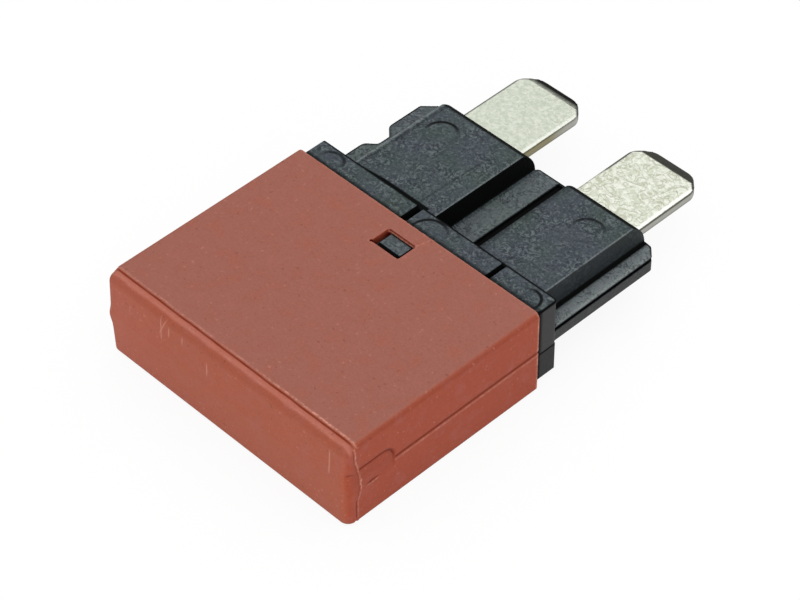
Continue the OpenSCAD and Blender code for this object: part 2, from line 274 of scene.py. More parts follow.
def softbox(name, azimuth, elevation, distance, width, brightness):
    """A square lamp that looks at the object. Its power is brightness times its area times pi."""
    data = bpy.data.lights.new(name, "AREA")
    data.size = width * MM
    data.energy = brightness * np.pi * (width * MM) ** 2
    lamp = bpy.data.objects.new(name, data)
    _, _, back = camera_axes(azimuth, elevation, 0)
    lamp.location = Vector((back * distance * MM).tolist())
    lamp.rotation_euler = Vector(back.tolist()).to_track_quat("Z", "Y").to_euler()
    bpy.context.scene.collection.objects.link(lamp)


floor_sheet()
grey_room()
softbox("overhead_softbox", azimuth=200, elevation=84, distance=600, width=1500, brightness=1.05)
softbox("front_softbox", azimuth=38, elevation=20, distance=700, width=700, brightness=1.5)
print("Floor, world and", len(bpy.data.lights), "lamps")

# %% [markdown]
# A moulding has flat faces, sharp steps and small rounds where they meet, on the inside corners too. Such
# a form could be built from boxes with Boolean and Bevel modifiers, but small slots break the bevels. One
# grid of two parameters can't follow it either, because it has windows, slits and a cavity. Here each
# moulding is a distance field instead: a formula that says for every point how far it lies outside the
# surface, negative inside. Flat limits are plain differences, a cut is a change of sign, and an edge gets
# its radius in the same step that joins two limits.

# %% Distances


def between(v, first, last):
    """Distance outside the slab from first to last."""
    return np.maximum(first - v, v - last)


def both(radius, *parts):
    """What all parts share, with its edges rounded to the radius.

    With each distance raised by the radius, the length of their positive parts is a round corner.
    """
    raised = [p + radius for p in parts]
    corner = sum(np.maximum(r, 0) ** 2 for r in raised)
    deepest = raised[0]
    for r in raised[1:]:
        deepest = np.maximum(deepest, r)
    return np.sqrt(corner) + np.minimum(deepest, 0) - radius


def either(radius, *parts):
    """What any part holds, with the inner corners filled to the radius."""
    return -both(radius, *[-p for p in parts])


def without(radius, body, hole):
    """The body less the hole, with the hole's rim rounded."""
    return both(radius, body, -hole)


def hump(v, centre, width):
    """A smooth hump of height 1 at the centre that has all but gone one width away: a bell curve."""
    return np.exp(-((v - centre) / width) ** 2 * 3)


def within(v, first, last, soft=0.1):
    """1 between first and last, and a straight fall to 0 over the soft length outside."""
    return np.clip(1 - between(v, first, last) / soft, 0, 1)


def wander(v, seed, size):
    """A smooth random line between about -1 and 1: five sines of chosen lengths with seeded phases."""
    rng = np.random.default_rng(seed)
    total = 0
    for k in range(1, 6):
        total = total + np.sin(v / size * (1 + 0.8 * k) + rng.uniform(0, 6.28)) / k ** 0.7
    return total / 2.6


print("A box 2 wide, at its face:", both(0.1, between(np.array(1.0), -1, 1)))

# %% [markdown]
# A field becomes a mesh with one vertex in each cell of a lattice that the surface crosses and one square
# face over each lattice edge that it crosses. The vertices then slide along the field's slope in five
# steps, after which they lie on the surface or very near it. The lattice lines are close together only
# where the form has detail, so the flat faces stay light. All of it is whole arrays, with no loop over
# points.
#
# The same field tells where the form closes in on itself or falls away. A step outwards from an open face
# gains its full length, and in a corner or a slot it gains less. Those shares are kept with the mesh, and
# the materials use them to paint shade into deep places and to pale edges, as wear and painted highlights.

# %% Lattice lines, slopes and edges


def ruler(first, last, step, *fine):
    """Lattice lines from first to last, a step or less apart, and closer in each fine (from, to, step)."""
    v = np.linspace(first, last, 20001)
    spacing = np.full_like(v, step)
    for start, end, close in fine:
        nearness = np.clip(np.maximum(start - v, v - end) / step, 0, 1)
        spacing = np.minimum(spacing, close + (step - close) * nearness)
    count = np.concatenate([[0], np.cumsum(np.diff(v) / (spacing[1:] + spacing[:-1]) * 2)])
    return np.interp(np.linspace(0, count[-1], int(np.ceil(count[-1])) + 1), count, v)


def slope_of(field, p, h=0.004):
    """The field and its slope at each point, from a difference along each axis."""
    sides = [field(*(p + s * h * np.eye(3)[a]).T) for a in range(3) for s in (1, -1)]
    slope = np.stack([(sides[2 * a] - sides[2 * a + 1]) / (2 * h) for a in range(3)], 1)
    return field(*p.T), slope


def closeness(field, points, normals, reach):
    """0 on an open face and up to 1 where the form comes back within the reach.

    It is 1 less the gain in distance over a step along the normal, as a share of the step. With a reach
    below zero the step goes inwards, and edges are what it finds.
    """
    return np.clip(1 - field(*(points + normals * reach).T) / reach, 0, 1)


def ends_at(field, points, normals, aside):
    """1 where the form has ended one step aside from a broad face, as it has near an edge."""
    step = np.column_stack([np.full(len(points), aside[0]), np.full(len(points), aside[1]),
                            -0.07 * np.sign(normals[:, 2])])
    return np.clip(field(*(points + step).T) / 0.05, 0, 1) * (np.abs(normals[:, 2]) > 0.4)


print("Lines 0.2 mm or less apart, from 0 to 1 mm:", np.round(ruler(0, 1, 0.2), 2))

# %% From a field to a mesh


def skin(name, field, xs, ys, zs, marks):
    """A closed mesh of the surface where the field is zero, on the lattice of those lines.

    marks(points, normals) gives what the materials read: named values for each point, kept from 0 to 1.
    """
    lines = (xs, ys, zs)
    f = field(*np.meshgrid(xs, ys, zs, indexing="ij"))
    solid = f < 0
    cells = np.array(f.shape) - 1
    corners = sum(solid[a:a + cells[0], b:b + cells[1], c:c + cells[2]].astype(int)
                  for a in (0, 1) for b in (0, 1) for c in (0, 1))
    crossed = (corners > 0) & (corners < 8)
    number = np.full(cells, -1)
    number[crossed] = np.arange(crossed.sum())
    cell = np.argwhere(crossed)
    low_corner = np.stack([lines[a][cell[:, a]] for a in range(3)], 1)
    high_corner = np.stack([lines[a][cell[:, a] + 1] for a in range(3)], 1)
    p = start_points(f, cell, low_corner, high_corner)
    for _ in range(5):
        value, slope = slope_of(field, p)
        p = p - slope * (value / np.maximum((slope ** 2).sum(1), 1e-9))[:, None]
        p = np.clip(p, low_corner, high_corner)
    _, slope = slope_of(field, p)
    normals = slope / np.linalg.norm(slope, axis=1)[:, None]
    made = mesh_object(name, p, squares(solid, number), normals)
    for key, value in marks(p, normals).items():
        made.data.attributes.new(key, "FLOAT", "POINT").data.foreach_set("value", np.clip(value, 0, 1))
    return made


def start_points(f, cell, low_corner, high_corner):
    """In each cell, the mean of the places where the surface crosses the cell's edges."""
    total = np.zeros(cell.shape)
    hits = np.zeros(len(cell))
    for axis in range(3):
        across = [a for a in range(3) if a != axis]
        for i in (0, 1):
            for j in (0, 1):
                side = np.zeros(3, int)
                side[across[0]], side[across[1]] = i, j
                ahead = side + np.eye(3, dtype=int)[axis]
                fa, fb = f[tuple((cell + side).T)], f[tuple((cell + ahead).T)]
                hit = (fa < 0) != (fb < 0)
                t = np.where(hit, fa / np.where(hit, fa - fb, 1), 0)
                span = high_corner - low_corner
                point = low_corner + span * side + span * np.eye(3)[axis] * t[:, None]
                total += np.where(hit[:, None], point, 0)
                hits += hit
    return total / hits[:, None]


def squares(solid, number):
    """One square over each lattice edge that the surface crosses, its corners in the four cells round it."""
    faces = []
    for axis in range(3):
        u, v = (axis + 1) % 3, (axis + 2) % 3
        a = np.moveaxis(solid, (axis, u, v), (0, 1, 2))
        n = np.moveaxis(number, (axis, u, v), (0, 1, 2))
        i, j, k = np.nonzero(a[:-1, 1:-1, 1:-1] != a[1:, 1:-1, 1:-1])
        ring = np.stack([n[i, j, k], n[i, j + 1, k], n[i, j + 1, k + 1], n[i, j, k + 1]], 1)
        outwards = a[:-1, 1:-1, 1:-1][i, j, k]
        faces.append(np.where(outwards[:, None], ring, ring[:, ::-1]))
    return np.concatenate(faces).tolist()


def mesh_object(name, points, faces, normals=None):
    """Puts points in millimetres and faces, as lists of corners, into a smooth mesh object at the origin."""
    mesh = bpy.data.meshes.new(name)
    mesh.from_pydata(points * MM, [], faces)
    mesh.polygons.foreach_set("use_smooth", np.ones(len(mesh.polygons), bool))
    if normals is not None:
        mesh.normals_split_custom_set_from_vertices(normals.tolist())
    mesh.update()
    made = bpy.data.objects.new(name, mesh)
    bpy.context.scene.collection.objects.link(made)
    print(name, "has", len(points), "points and", len(faces), "faces")
    return made


block = np.zeros((4, 4, 4), bool)
block[1:3, 1:3, 1:3] = True
block_squares = squares(block, np.arange(27).reshape(3, 3, 3))
print("A block of 2 x 2 x 2 lattice points has", len(block_squares), "squares")

# %% [markdown]
# The cap is one red shell, a box open at the blade end. A mould and its slides leave marks on it, and they
# tell the eye that it is a real moulding. The closed end was formed by a slide: its line runs round the
# cap just short of the end, as a groove on the broad faces and a wandering thread of flash down the
# narrow ones. The two halves of the cavity left a parting line along the narrow sides, which ends at the
# gate, and a faint line runs from the latch window to the rim.
#
# Lengths along the cap are counted from its closed end, which is easier to read than a place in the
# object. What the imported model gives is taken from it, and the rest is written here in millimetres.

# %% The cap's sizes
cap_low, cap_high = (np.array(c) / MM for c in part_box("cap"))
CAP_W = cap_high[0] - cap_low[0]
CAP_L = cap_high[1] - cap_low[1]
CAP_T = cap_high[2] - cap_low[2]
CLOSED_END = cap_low[1]
MID = CAP_T / 2
CAP_WALL = 0.8
# The plain faces are sunk a little, so that the ridges on them stay inside the solid's box.
SUNK = 0.03
# Radii: the closed end's upper edge, the other upper edges, the lower edges, the upright corners, the inside.
NOSE_R = 0.72
EDGE_R = 0.4
LOW_EDGE_R = 0.25
CORNER_R = 0.62
CAVE_R = 0.3
# The closed end leans in by this much between the parting line and each broad face.
END_LEAN = 0.12
# Places: the slide's line, the parting line's height and start, and half the windows' width and their ends.
SLIDE_Y = 0.79
PARTING_Z = 3.2
PARTING_Y = 3.9
WINDOW_X = 1.1
WINDOW_Y = (12.9, 14.33)
# The gate's patch at +X, and then how deep a groove and how tall a ridge of full strength is.
GATE_FAR_Y = 3.77
GATE_TOP_Z = 4.25
GATE_R = 0.8
GATE_DEEP = 0.04
GROOVE_DEEP = 0.06
RIDGE_TALL = 0.03
print("The cap is", np.round([CAP_W, CAP_L, CAP_T], 2), "mm")

# %% [markdown]
# A mark of the mould is a groove or a ridge along a line, and both are smooth humps across that line. The
# lines wander a little and their strength comes and goes, because worn steel leaves them so. The form adds
# the humps to its distance, and the material reads the same ones to paint shade into grooves and to pale
# ridges, so painted shade and form always agree. Modelling them keeps them sharp where a picture of them
# would blur.

# %% The mould's marks on the cap


def slide_path(z):
    """How far from the closed end the slide's line lies on the narrow sides: it bows away at the middle."""
    return 0.77 + 0.44 * hump(z, 3.05, 2.6) + 0.05 * wander(z, 7, 0.45)


def crest_path(x):
    """Where the nose's rounding starts: an uneven line a little short of the slide's line."""
    return 0.46 + 0.05 * wander(x, 11, 0.9)


def broad_marks(x, y):
    """Grooves and ridges of the broad faces: the slide's line with its flash, and the window's line."""
    line = y - SLIDE_Y - 0.02 * wander(x, 4, 1.1)
    flash = 0.4 + 0.25 * wander(x, 3, 0.9) + 0.8 * within(x, 7, 12, 5)
    groove = hump(line, 0, 0.12) * (0.85 + 0.15 * wander(x, 15, 0.7))
    ridge = hump(line, 0.17, 0.13) * flash
    curl = 0.5 * hump(y, crest_path(x), 0.09) * np.clip(wander(x, 12, 0.8) * 1.6 - 0.2, 0, 1)
    from_window = y - WINDOW_Y[1]
    tail = 0.4 * hump(x, WINDOW_X + from_window * 0.25, 0.06) * within(y, WINDOW_Y[1], CAP_L)
    return groove, ridge + curl + tail


def gate_outline(y, z):
    """Distance outside the gate patch, a rectangle with a round corner that is open towards the end."""
    return both(GATE_R, y - GATE_FAR_Y, z - GATE_TOP_Z)


def side_marks(x, y, z):
    """Grooves and ridges of the narrow sides: slide line, parting line, and at +X the gate."""
    line = y - slide_path(z)
    upper = within(z, 2.0, 6.1)
    groove = hump(line, -0.11, 0.07) * upper * 0.4
    groove = groove + hump(y, 0.83, 0.06) * within(z, 0.55, 1.85) * 0.9
    ridge = hump(line, 0, 0.1 + 0.05 * hump(z, 3.2, 0.35)) * upper * (0.85 + 0.15 * wander(z, 5, 0.35))
    ridge = ridge + hump(z, 3.25, 0.2) * hump(line, 0.05, 0.16)
    ridge = ridge + hump(y, 0.95, 0.07) * within(z, 0.5, 1.8) * 0.5
    parting = within(y, PARTING_Y, CAP_L + 1)
    groove = groove + hump(z, PARTING_Z, 0.13) * parting
    ridge = ridge + hump(z, PARTING_Z - 0.2, 0.13) * parting * (0.45 + 0.3 * wander(y, 9, 0.5))
    at_gate = x > 0
    fade = within(z, 3.7, 9, 1.2) * within(y, 1.15, 9)
    groove = groove + hump(gate_outline(y, z), -0.02, 0.16) * fade * at_gate
    dash = within(y, 1.8, 2.45) * at_gate
    groove = groove + hump(z, 2.65, 0.09) * dash
    ridge = ridge + hump(z, 2.53, 0.09) * dash
    chip = hump(z, 4.18 + 0.1 * (y - 0.3), 0.1) * within(y, 0.12, 0.5)
    return groove + chip * at_gate, ridge


print("On the slide's line the groove has the strength", round(float(broad_marks(0.0, SLIDE_Y)[0]), 2))

# %% [markdown]
# The cap's body is three pairs of limits with rounded edges, less the cavity and the two latch windows. It
# follows the real one in small things: the closed end leans in from the parting line, as a mould needs it
# to, and the lower edges and the corner at -X are sharper than the rest.

# %% The cap's form


def cap_faces(x, y, z):
    """Distances outside the broad faces, the narrow sides and the leaning closed end."""
    face = between(z, SUNK, CAP_T - SUNK)
    side = between(x, SUNK - CAP_W / 2, CAP_W / 2 - SUNK)
    end = END_LEAN * np.abs(z - PARTING_Z) / PARTING_Z - y + 0.02
    return face, side, end


def cap_marks(x, y, z):
    """All grooves and ridges, each kept to the faces that it belongs to."""
    face, side, _ = cap_faces(x, y, z)
    on_face = np.clip(1 + face * 5, 0, 1) * np.clip(1 - np.abs(face) * 5, 0, 1)
    on_side = np.clip(1 - np.abs(side) * 4, 0, 1) * (on_face < 0.9)
    broad_groove, broad_ridge = broad_marks(x, y)
    side_groove, side_ridge = side_marks(x, y, z)
    near_top = np.clip(1 - np.abs(face) * 3, 0, 1)
    groove = np.maximum(broad_groove * near_top, side_groove * on_side)
    ridge = np.maximum(broad_ridge * near_top, side_ridge * on_side)
    return groove, np.clip(ridge, 0, 1.3)


def cap_outside(x, y, z):
    """The outer form: faces, sides and end with their radii, the rim, the marks and the sunk gate."""
    face, side, end = cap_faces(x, y, z)
    # The upper edge is roundest at the closed end, and the lower edges are sharper than the upper ones.
    edge_r = np.where(z > MID, EDGE_R + (NOSE_R - EDGE_R) * within(y, -1, 0.6, 0.5), LOW_EDGE_R)
    # The corner at -X is sharper, most of all at mid-height, where it has a small nib.
    corner_r = CORNER_R - (0.12 + 0.25 * hump(z, 3.0, 0.9)) * (x < 0)
    outer = both(edge_r, both(corner_r, side, end), face)
    outer = both(0.05, outer, y - CAP_L + 0.015 + 0.012 * wander(x, 21, 0.25))
    groove, ridge = cap_marks(x, y, z)
    sunk_gate = GATE_DEEP * within(gate_outline(y, z), -9, -0.05, 0.05)
    sunk_gate = sunk_gate * within(z, 3.6, 9, 1.2) * (x > 0) * np.clip(1 - np.abs(side) * 4, 0, 1)
    outer = outer + GROOVE_DEEP * groove - RIDGE_TALL * ridge + sunk_gate
    return np.maximum(outer, np.maximum(between(x, cap_low[0], cap_high[0]), between(z, 0, CAP_T)))


def cap_field(x, y, z):
    """The cap: its outer form less the cavity, the latch windows and the cutter's slip at their corner."""
    y = y - CLOSED_END
    cave = both(CAVE_R, between(x, CAP_WALL - CAP_W / 2, CAP_W / 2 - CAP_WALL),
                between(z, CAP_WALL, CAP_T - CAP_WALL), CAP_WALL - y)
    shell = without(0.04, cap_outside(x, y, z), cave)
    window = both(0.1, between(x, -WINDOW_X, WINDOW_X), between(y, *WINDOW_Y))
    slip = both(0.03, np.hypot(x + WINDOW_X + 0.02, y - WINDOW_Y[0]) - 0.09, CAP_T - 0.25 - z)
    return without(0.08, without(0.03, shell, slip), window)


hollow = cap_field(0.0, CLOSED_END + CAP_L / 2, MID)
print("The middle of the cavity lies", round(float(hollow), 2), "mm from the cap's walls")

# %% [markdown]
# The mesh carries masks for the red plastic, one number for each point, many of them painted shade and
# light. They are worked out from the same distances as the form, which is why a painted shade line never
# slips off its groove.

# %% The cap's masks and its mesh


def cap_looks(points, normals):
    """Masks: painted shade in deep places, creases, under the crest, near the floor and on rounded edges;
    paler flash ridges and worn edges, painted light on the window's far wall and a painted highlight on
    the open rim; painted shade on the narrow flanks; painted sheen on the broad faces, also rougher.

    band is the nose between its crest and the slide's line, and line is painted shade in the mould's grooves.
    """
    x, y, z = points.T
    y = y - CLOSED_END
    groove, ridge = cap_marks(x, y, z)
    flat = np.abs(normals[:, 2])
    level = np.clip((flat - 0.8) * 6, 0, 1)
    rolled = np.clip(flat * 4 - 0.4, 0, 1) * (1 - level)
    depth = np.clip((MID - np.abs(z - MID)) / 0.3, 0, 1.4)
    far_wall = within(y, 14.2, 14.5) * (normals[:, 1] < -0.5)
    # Painted shade: deep places, creases, the window's far wall by its depth, the nose under its crest, the
    # bottom 0.3 mm next to the floor, and rounded edges.
    inside = closeness(cap_field, points, normals, 1.2) * (flat < 0.6) * (0.2 + 0.57 * depth)
    crease = closeness(cap_field, points, normals, 0.12) * np.clip(1 - 3 * groove, 0, 1)
    under_crest = within(y, 0.2, crest_path(x) - 0.08, 0.1) * within(flat, 0.15, 0.9) * (z > MID)
    painted_shade = (inside + crease) * (1 - far_wall)
    painted_shade = painted_shade + far_wall * (0.8 * hump(depth, 0.2, 0.3) + np.clip(depth * 4 - 3, 0, 1))
    painted_shade = painted_shade + 0.11 * under_crest + 0.35 * np.clip(1 - z / 0.3, 0, 1) + 0.16 * rolled * (y > 1)
    # Paler of their own: flash ridges and worn edges. Painted light: the window's far wall at mid depth, and
    # a painted highlight along the open rim.
    worn = closeness(cap_field, points, normals, -0.15) * (1 - rolled) * (1 - far_wall)
    rim = within(y, CAP_L - 0.13, CAP_L, 0.05) * (flat < 0.9)
    pale_and_highlight = ridge + 0.4 * worn + 2.5 * hump(depth, 0.62, 0.3) * far_wall + 0.7 * rim
    band = within(y, crest_path(x) - 0.02, 0.7, 0.1) * np.clip(flat * 2, 0, 1)
    return {"painted_shade": painted_shade, "pale_and_highlight": pale_and_highlight,
            # Painted shade: faces that face +X or -X get a deeper red.
            "flank_shade": np.clip(np.abs(normals[:, 0]) * 3 - 1.5, 0, 1),
            # Painted sheen: level faces beyond the slide's line get a greyer, paler red; the same mask makes
            # them rougher.
            "matt_and_sheen": np.maximum(level * within(y, SLIDE_Y, 99, 0.05), 0.15 * rolled),
            "band": band * (0.6 + 0.3 * hump(y, 0.5, 0.16)),
            # Painted shade: the mould's grooves get a darker red.
            "line": groove * np.where((flat > 0.6) | (z > 3.5), 1.3, 0.85)}


def make_cap():
    """Lattice lines crowd at the closed end, the slide line, the gate, the windows and the rim."""
    end = CLOSED_END
    xs = ruler(-CAP_W / 2 - 0.1, CAP_W / 2 + 0.1, 0.45, (-10.2, -9.5, 0.09), (-1.3, 1.4, 0.09),
               (9.4, 10.2, 0.06))
    ys = ruler(end - 0.1, end + CAP_L + 0.1, 0.4, (end - 0.1, end + 0.5, 0.07),
               (end + 0.45, end + 1.35, 0.032), (end + 3.3, end + 3.85, 0.06),
               (end + 12.75, end + 14.5, 0.09), (end + 15.3, end + 15.6, 0.06))
    zs = ruler(-0.1, CAP_T + 0.1, 0.25, (-0.1, 0.8, 0.09), (2.5, 2.7, 0.035), (3.03, 3.3, 0.035),
               (4.1, 4.35, 0.035), (5.5, 6.45, 0.07))
    print("The cap's lattice has", len(xs), "x", len(ys), "x", len(zs), "lines")
    return skin("cap_shell", cap_field, xs, ys, zs, cap_looks)


cap_shell = make_cap()
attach(cap_shell, "root")
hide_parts("cap")

# %% [markdown]
# The base is one black moulding formed round the blades. From the cap outwards it has a plug inside the
# cap, a collar that stops against the cap's rim, and two legs with a web between them and a thin flange
# on either side. It was made so that a half turn about its length changes nothing but a notch and the
# corners of the flanges, so each form is written once, for the upper half, and used twice.

# %% The base's sizes
base_low, base_high = (np.array(c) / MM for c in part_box("base"))
# The plug's inner end and its play in the cap, and where the collar ends and the legs begin.
PLUG_Y = base_low[1] - CLOSED_END
PLUG_GAP = 0.08
LEG_Y = 17.25
# Half the collar's width and half its thickness.
COLLAR_HALF = base_high[0]
COLLAR_HALF_T = base_high[2] - MID
# Past its parting line, at this height over the middle plane, the collar steps in.
COLLAR_LINE = -0.6
COLLAR_STEP = 0.06
# The collar's two slits, each from side to side.
COLLAR_SLITS = ((-1.55, -1.05), (5.45, 5.8))
# The ends of the flanges and of the legs, the radius of the legs' noses, and half the legs' thickness.
PLATE_Y = base_high[1] - CLOSED_END
NOSE_Y = PLATE_Y - 0.15
LEG_NOSE_R = 2.15
LEG_HALF_T = 2.55
# Half the width over both flanges, and half their thickness.
FLANGE_HALF_W = 9.65
FLANGE_HALF_T = 0.65
# The flanges' cut corners at -X and +X, and how far their ledges fall for each millimetre outwards.
CORNER_CUTS = (0.85, 0.6)
LEDGE_SLOPE = 0.17
# The notch at -X: its ends, how long the curve at each end is, and its depth.
NOTCH_Y = (20.35, 22.75)
NOTCH_CURVES = (0.85, 0.75)
NOTCH_DEEP = 0.68
# The legs from side to side, the web's height over the middle plane, and its slot from side to side.
WIDE_LEG = (-7.3, -0.33)
SLIM_LEG = (3.25, 8.65)
WEB_TOP = 0.9
WEB_SLOT = (1.6, 2.15)
# The barb from side to side, the top of its ramp and its catch, and its height over the middle plane.
BARB_X = (-0.84, 0.87)
BARB_Y = (13.27, 14.36)
BARB_TOP = 2.91
# The groove in the flanges' edge lies between these heights over the middle plane.
GROOVE_W = (0.13, 0.4)
# Radii of the legs' edges: most of them, and the wide leg's outer one.
SMALL_R = 0.06
LONG_R = 0.17
# The ejector pins' marks: centre, radius, where the painted shadow is darkest in degrees, and strength.
PIN_MARKS = (((-5.35, 22.95), 1.05, 120, 1.0), ((6.83, 22.92), 1.03, 120, 0.85),
             ((-8.0, 16.12), 0.86, 90, 0.8), ((0.6, 15.9), 1.13, 125, 1.0),
             ((1.75, 16.8), 0.35, 90, 0.4), ((8.5, 16.0), 0.86, 50, 1.0))
print("The base is", np.round(base_high - base_low, 2), "mm")

# %% [markdown]
# Each form of the base is a function of its own, in coordinates that suit it: u runs across the base, y
# along it from the cap's closed end, and w up from the middle plane. Swapping u for -u and w for -w is the
# half turn, so the lower half costs nothing.

# %% The base's form


def upper_half(u, y, w):
    """Legs and web of one half. The wide leg's outer edge is worn rounder than the others."""
    ahead = np.maximum(y - (NOSE_Y - LEG_NOSE_R), 0)
    nose = np.hypot(ahead, np.maximum(w - FLANGE_HALF_T, 0)) - LEG_NOSE_R
    top = np.maximum(w - LEG_HALF_T, nose)
    rest = np.maximum(-w - 0.3, PLUG_Y - y)
    wide = both(np.where(u < -3, LONG_R, SMALL_R), between(u, *WIDE_LEG), top, rest)
    slim = both(SMALL_R, between(u, *SLIM_LEG), top, rest)
    web_end = both(0.4, y - PLATE_Y + 0.02, WIDE_LEG[1] - u)
    web = both(SMALL_R, w - WEB_TOP, web_end, u - SLIM_LEG[0] - 0.3, rest)
    # Past the wide leg's inner wall there is no web, so the field is set far outside there.
    web = np.where(u < WIDE_LEG[1] - 0.5, 5.0, web)
    slot = both(0.04, between(u, *WEB_SLOT), between(y, LEG_Y, PLATE_Y - 0.2), 0.1 - w)
    return either(0.04, wide, slim, without(0.05, web, slot))


def slits(u, y, w):
    """The collar's two slits, which let the mould's cores in."""
    hole = np.full(np.broadcast(u, y, w).shape, 9.0)
    for sides in COLLAR_SLITS:
        slit = both(0.03, between(u, *sides), between(y, CAP_L - 1, LEG_Y + 0.02), COLLAR_HALF_T - 1.2 - w)
        hole = np.minimum(hole, slit)
    return hole


def lesser_half(x, w):
    """Height over the middle plane at +X and depth under it at -X, which is what a half turn keeps."""
    return np.where(x > 0, w, -w)


def collar_form(x, y, w):
    """The collar. Beyond its parting line the sides step in, and their corners are rounder."""
    height = lesser_half(x, w)
    beyond = within(height, -9, COLLAR_LINE, 0.03)
    side = np.abs(x) - COLLAR_HALF + COLLAR_STEP * beyond
    groove = 0.14 * hump(height, COLLAR_LINE, 0.055) * np.clip(1 + side * 3, 0, 1)
    form = both(0.34 - 0.2 * beyond, side, y - LEG_Y, np.abs(w) - COLLAR_HALF_T - 0.36 + 0.03 * beyond)
    form = both(0.06, form, np.abs(w) - COLLAR_HALF_T, CAP_L + 0.01 - y)
    low_edge = both(0.3, side, np.abs(w) - COLLAR_HALF_T)
    return np.maximum(form, np.where(beyond > 0.5, low_edge, -9)) + groove


def flange_form(x, y, w):
    """The flanges: a plate with cut corners, a notch, sloping ledges and a groove in their edge."""
    half = FLANGE_HALF_W
    wide_cut = (y - PLATE_Y + CORNER_CUTS[0] - x - half) / np.sqrt(2)
    slim_cut = (y - PLATE_Y + CORNER_CUTS[1] + x - half) / np.sqrt(2)
    height = lesser_half(x, w)
    # The slope's cosine, 0.986, turns a height over the ledge into a distance from it.
    ledge = (height - FLANGE_HALF_T + LEDGE_SLOPE * (np.abs(x) - SLIM_LEG[1])) * 0.986
    plate = both(0.06, np.maximum(ledge, np.abs(w) - FLANGE_HALF_T), np.abs(x) - half, wide_cut, slim_cut,
                 y - PLATE_Y + 0.02, PLUG_Y - y)
    rise = np.clip((y - NOTCH_Y[0]) / NOTCH_CURVES[0], 0, 1)
    fall = np.clip((NOTCH_Y[1] - y) / NOTCH_CURVES[1], 0, 1)
    dip = NOTCH_DEEP * rise ** 2 * (3 - 2 * rise) * fall ** 2 * (3 - 2 * fall)
    notch = np.maximum(x + half - dip - 0.02, between(y, *NOTCH_Y)) * 0.8
    groove = np.maximum(between(height, *GROOVE_W), half - 0.2 - np.abs(x))
    return without(0.03, without(0.08, plate, notch), groove)


def barb_form(x, y, w):
    """The latch barb: a ramp that rises at 45 degrees, a flat top and a catch."""
    ramp_end = w - BARB_TOP + BARB_Y[0] - y
    return both(0.04, between(x, *BARB_X), w - BARB_TOP, y - BARB_Y[1], ramp_end / np.sqrt(2), 1 - w)


def base_field(x, y, z):
    """The base: plug, collar, legs, flanges and barbs joined, less the slits."""
    y = y - CLOSED_END
    w = z - MID
    half_plug_w = CAP_W / 2 - CAP_WALL - PLUG_GAP
    half_plug_t = MID - CAP_WALL - PLUG_GAP
    plug = both(0.25, np.abs(x) - half_plug_w, np.abs(w) - half_plug_t, PLUG_Y - y, y - CAP_L - 0.3)
    body = either(0.04, plug, collar_form(x, y, w), flange_form(x, y, w),
                  upper_half(x, y, w), upper_half(-x, y, -w), barb_form(x, y, w), barb_form(-x, y, -w))
    return without(0.02, without(0.02, body, slits(x, y, w)), slits(-x, y, -w))


over_leg = base_field(5.0, CLOSED_END + 20, MID + LEG_HALF_T + 1)
print("A millimetre over the slim leg the base's field is", round(float(over_leg), 2))

# %% [markdown]
# On black plastic the eye reads the form from a few things: seams and slots painted black as shade, outer
# walls that were polished in the mould and are smoother, painted shade on the walls beside the legs, and
# painted highlights on edges and ledges.
# Each of them is a mask. A small record of each point's place keeps their formulas short.

# %% Where the points of the base lie


def base_places(points, normals):
    """Each point's place and the way that it faces, in the words that the masks use.

    flat is 1 on a level face and 0 on an upright one. u is x after the half turn that brings the point's
    half on top. Near the middle plane the way that a wall faces tells which half it belongs to.
    """
    x, y, z = points.T
    w = z - MID
    flat = np.abs(normals[:, 2])
    facing = np.sign(x * normals[:, 0] + 1e-6) * np.sign(x)
    return SimpleNamespace(
        x=x, y=y - CLOSED_END, w=w, out=np.abs(x), high=np.abs(w), flat=flat, level=flat > 0.7,
        upright=np.clip(1.5 - 2 * flat, 0, 1), legs=within(y - CLOSED_END, LEG_Y + 0.1, 99, 0.02),
        u=x * np.where(np.abs(w) > 0.7, np.sign(w), facing))


def base_walls(at):
    """Two masks: shade on the legs' walls, the lower collar and the slim leg's edge, and smooth walls."""
    shade = 0.78 * at.upright * at.legs * (at.out < FLANGE_HALF_W - 0.7)
    low_collar = within(lesser_half(at.x, at.w), -9, COLLAR_LINE, 0.02) * (at.y < LEG_Y + 0.1)
    shade = shade + 0.5 * low_collar * at.upright * (at.out > 9)
    slim_edge = within(at.u, SLIM_LEG[0], SLIM_LEG[0] + 0.1, 0.35) * (at.high > 2)
    shade = shade + 0.6 * slim_edge * at.legs * at.level
    smooth = at.upright * (at.out > COLLAR_HALF - 0.15) * (at.y < LEG_Y + 0.1)
    return shade, smooth + 0.85 * at.upright * at.legs * (at.out > FLANGE_HALF_W - 0.7)


UP = np.array([[0.0, 0.0, 1.0]])
on_leg = np.array([[5.0, CLOSED_END + LEG_Y, MID + LEG_HALF_T]])
print("On the slim leg's top u is", base_places(on_leg, UP).u[0], "and after half a turn it is",
      base_places(on_leg * (-1, 1, 1) - (0, 0, 2 * LEG_HALF_T), -UP).u[0])

# %% The base's painted shade and black lines


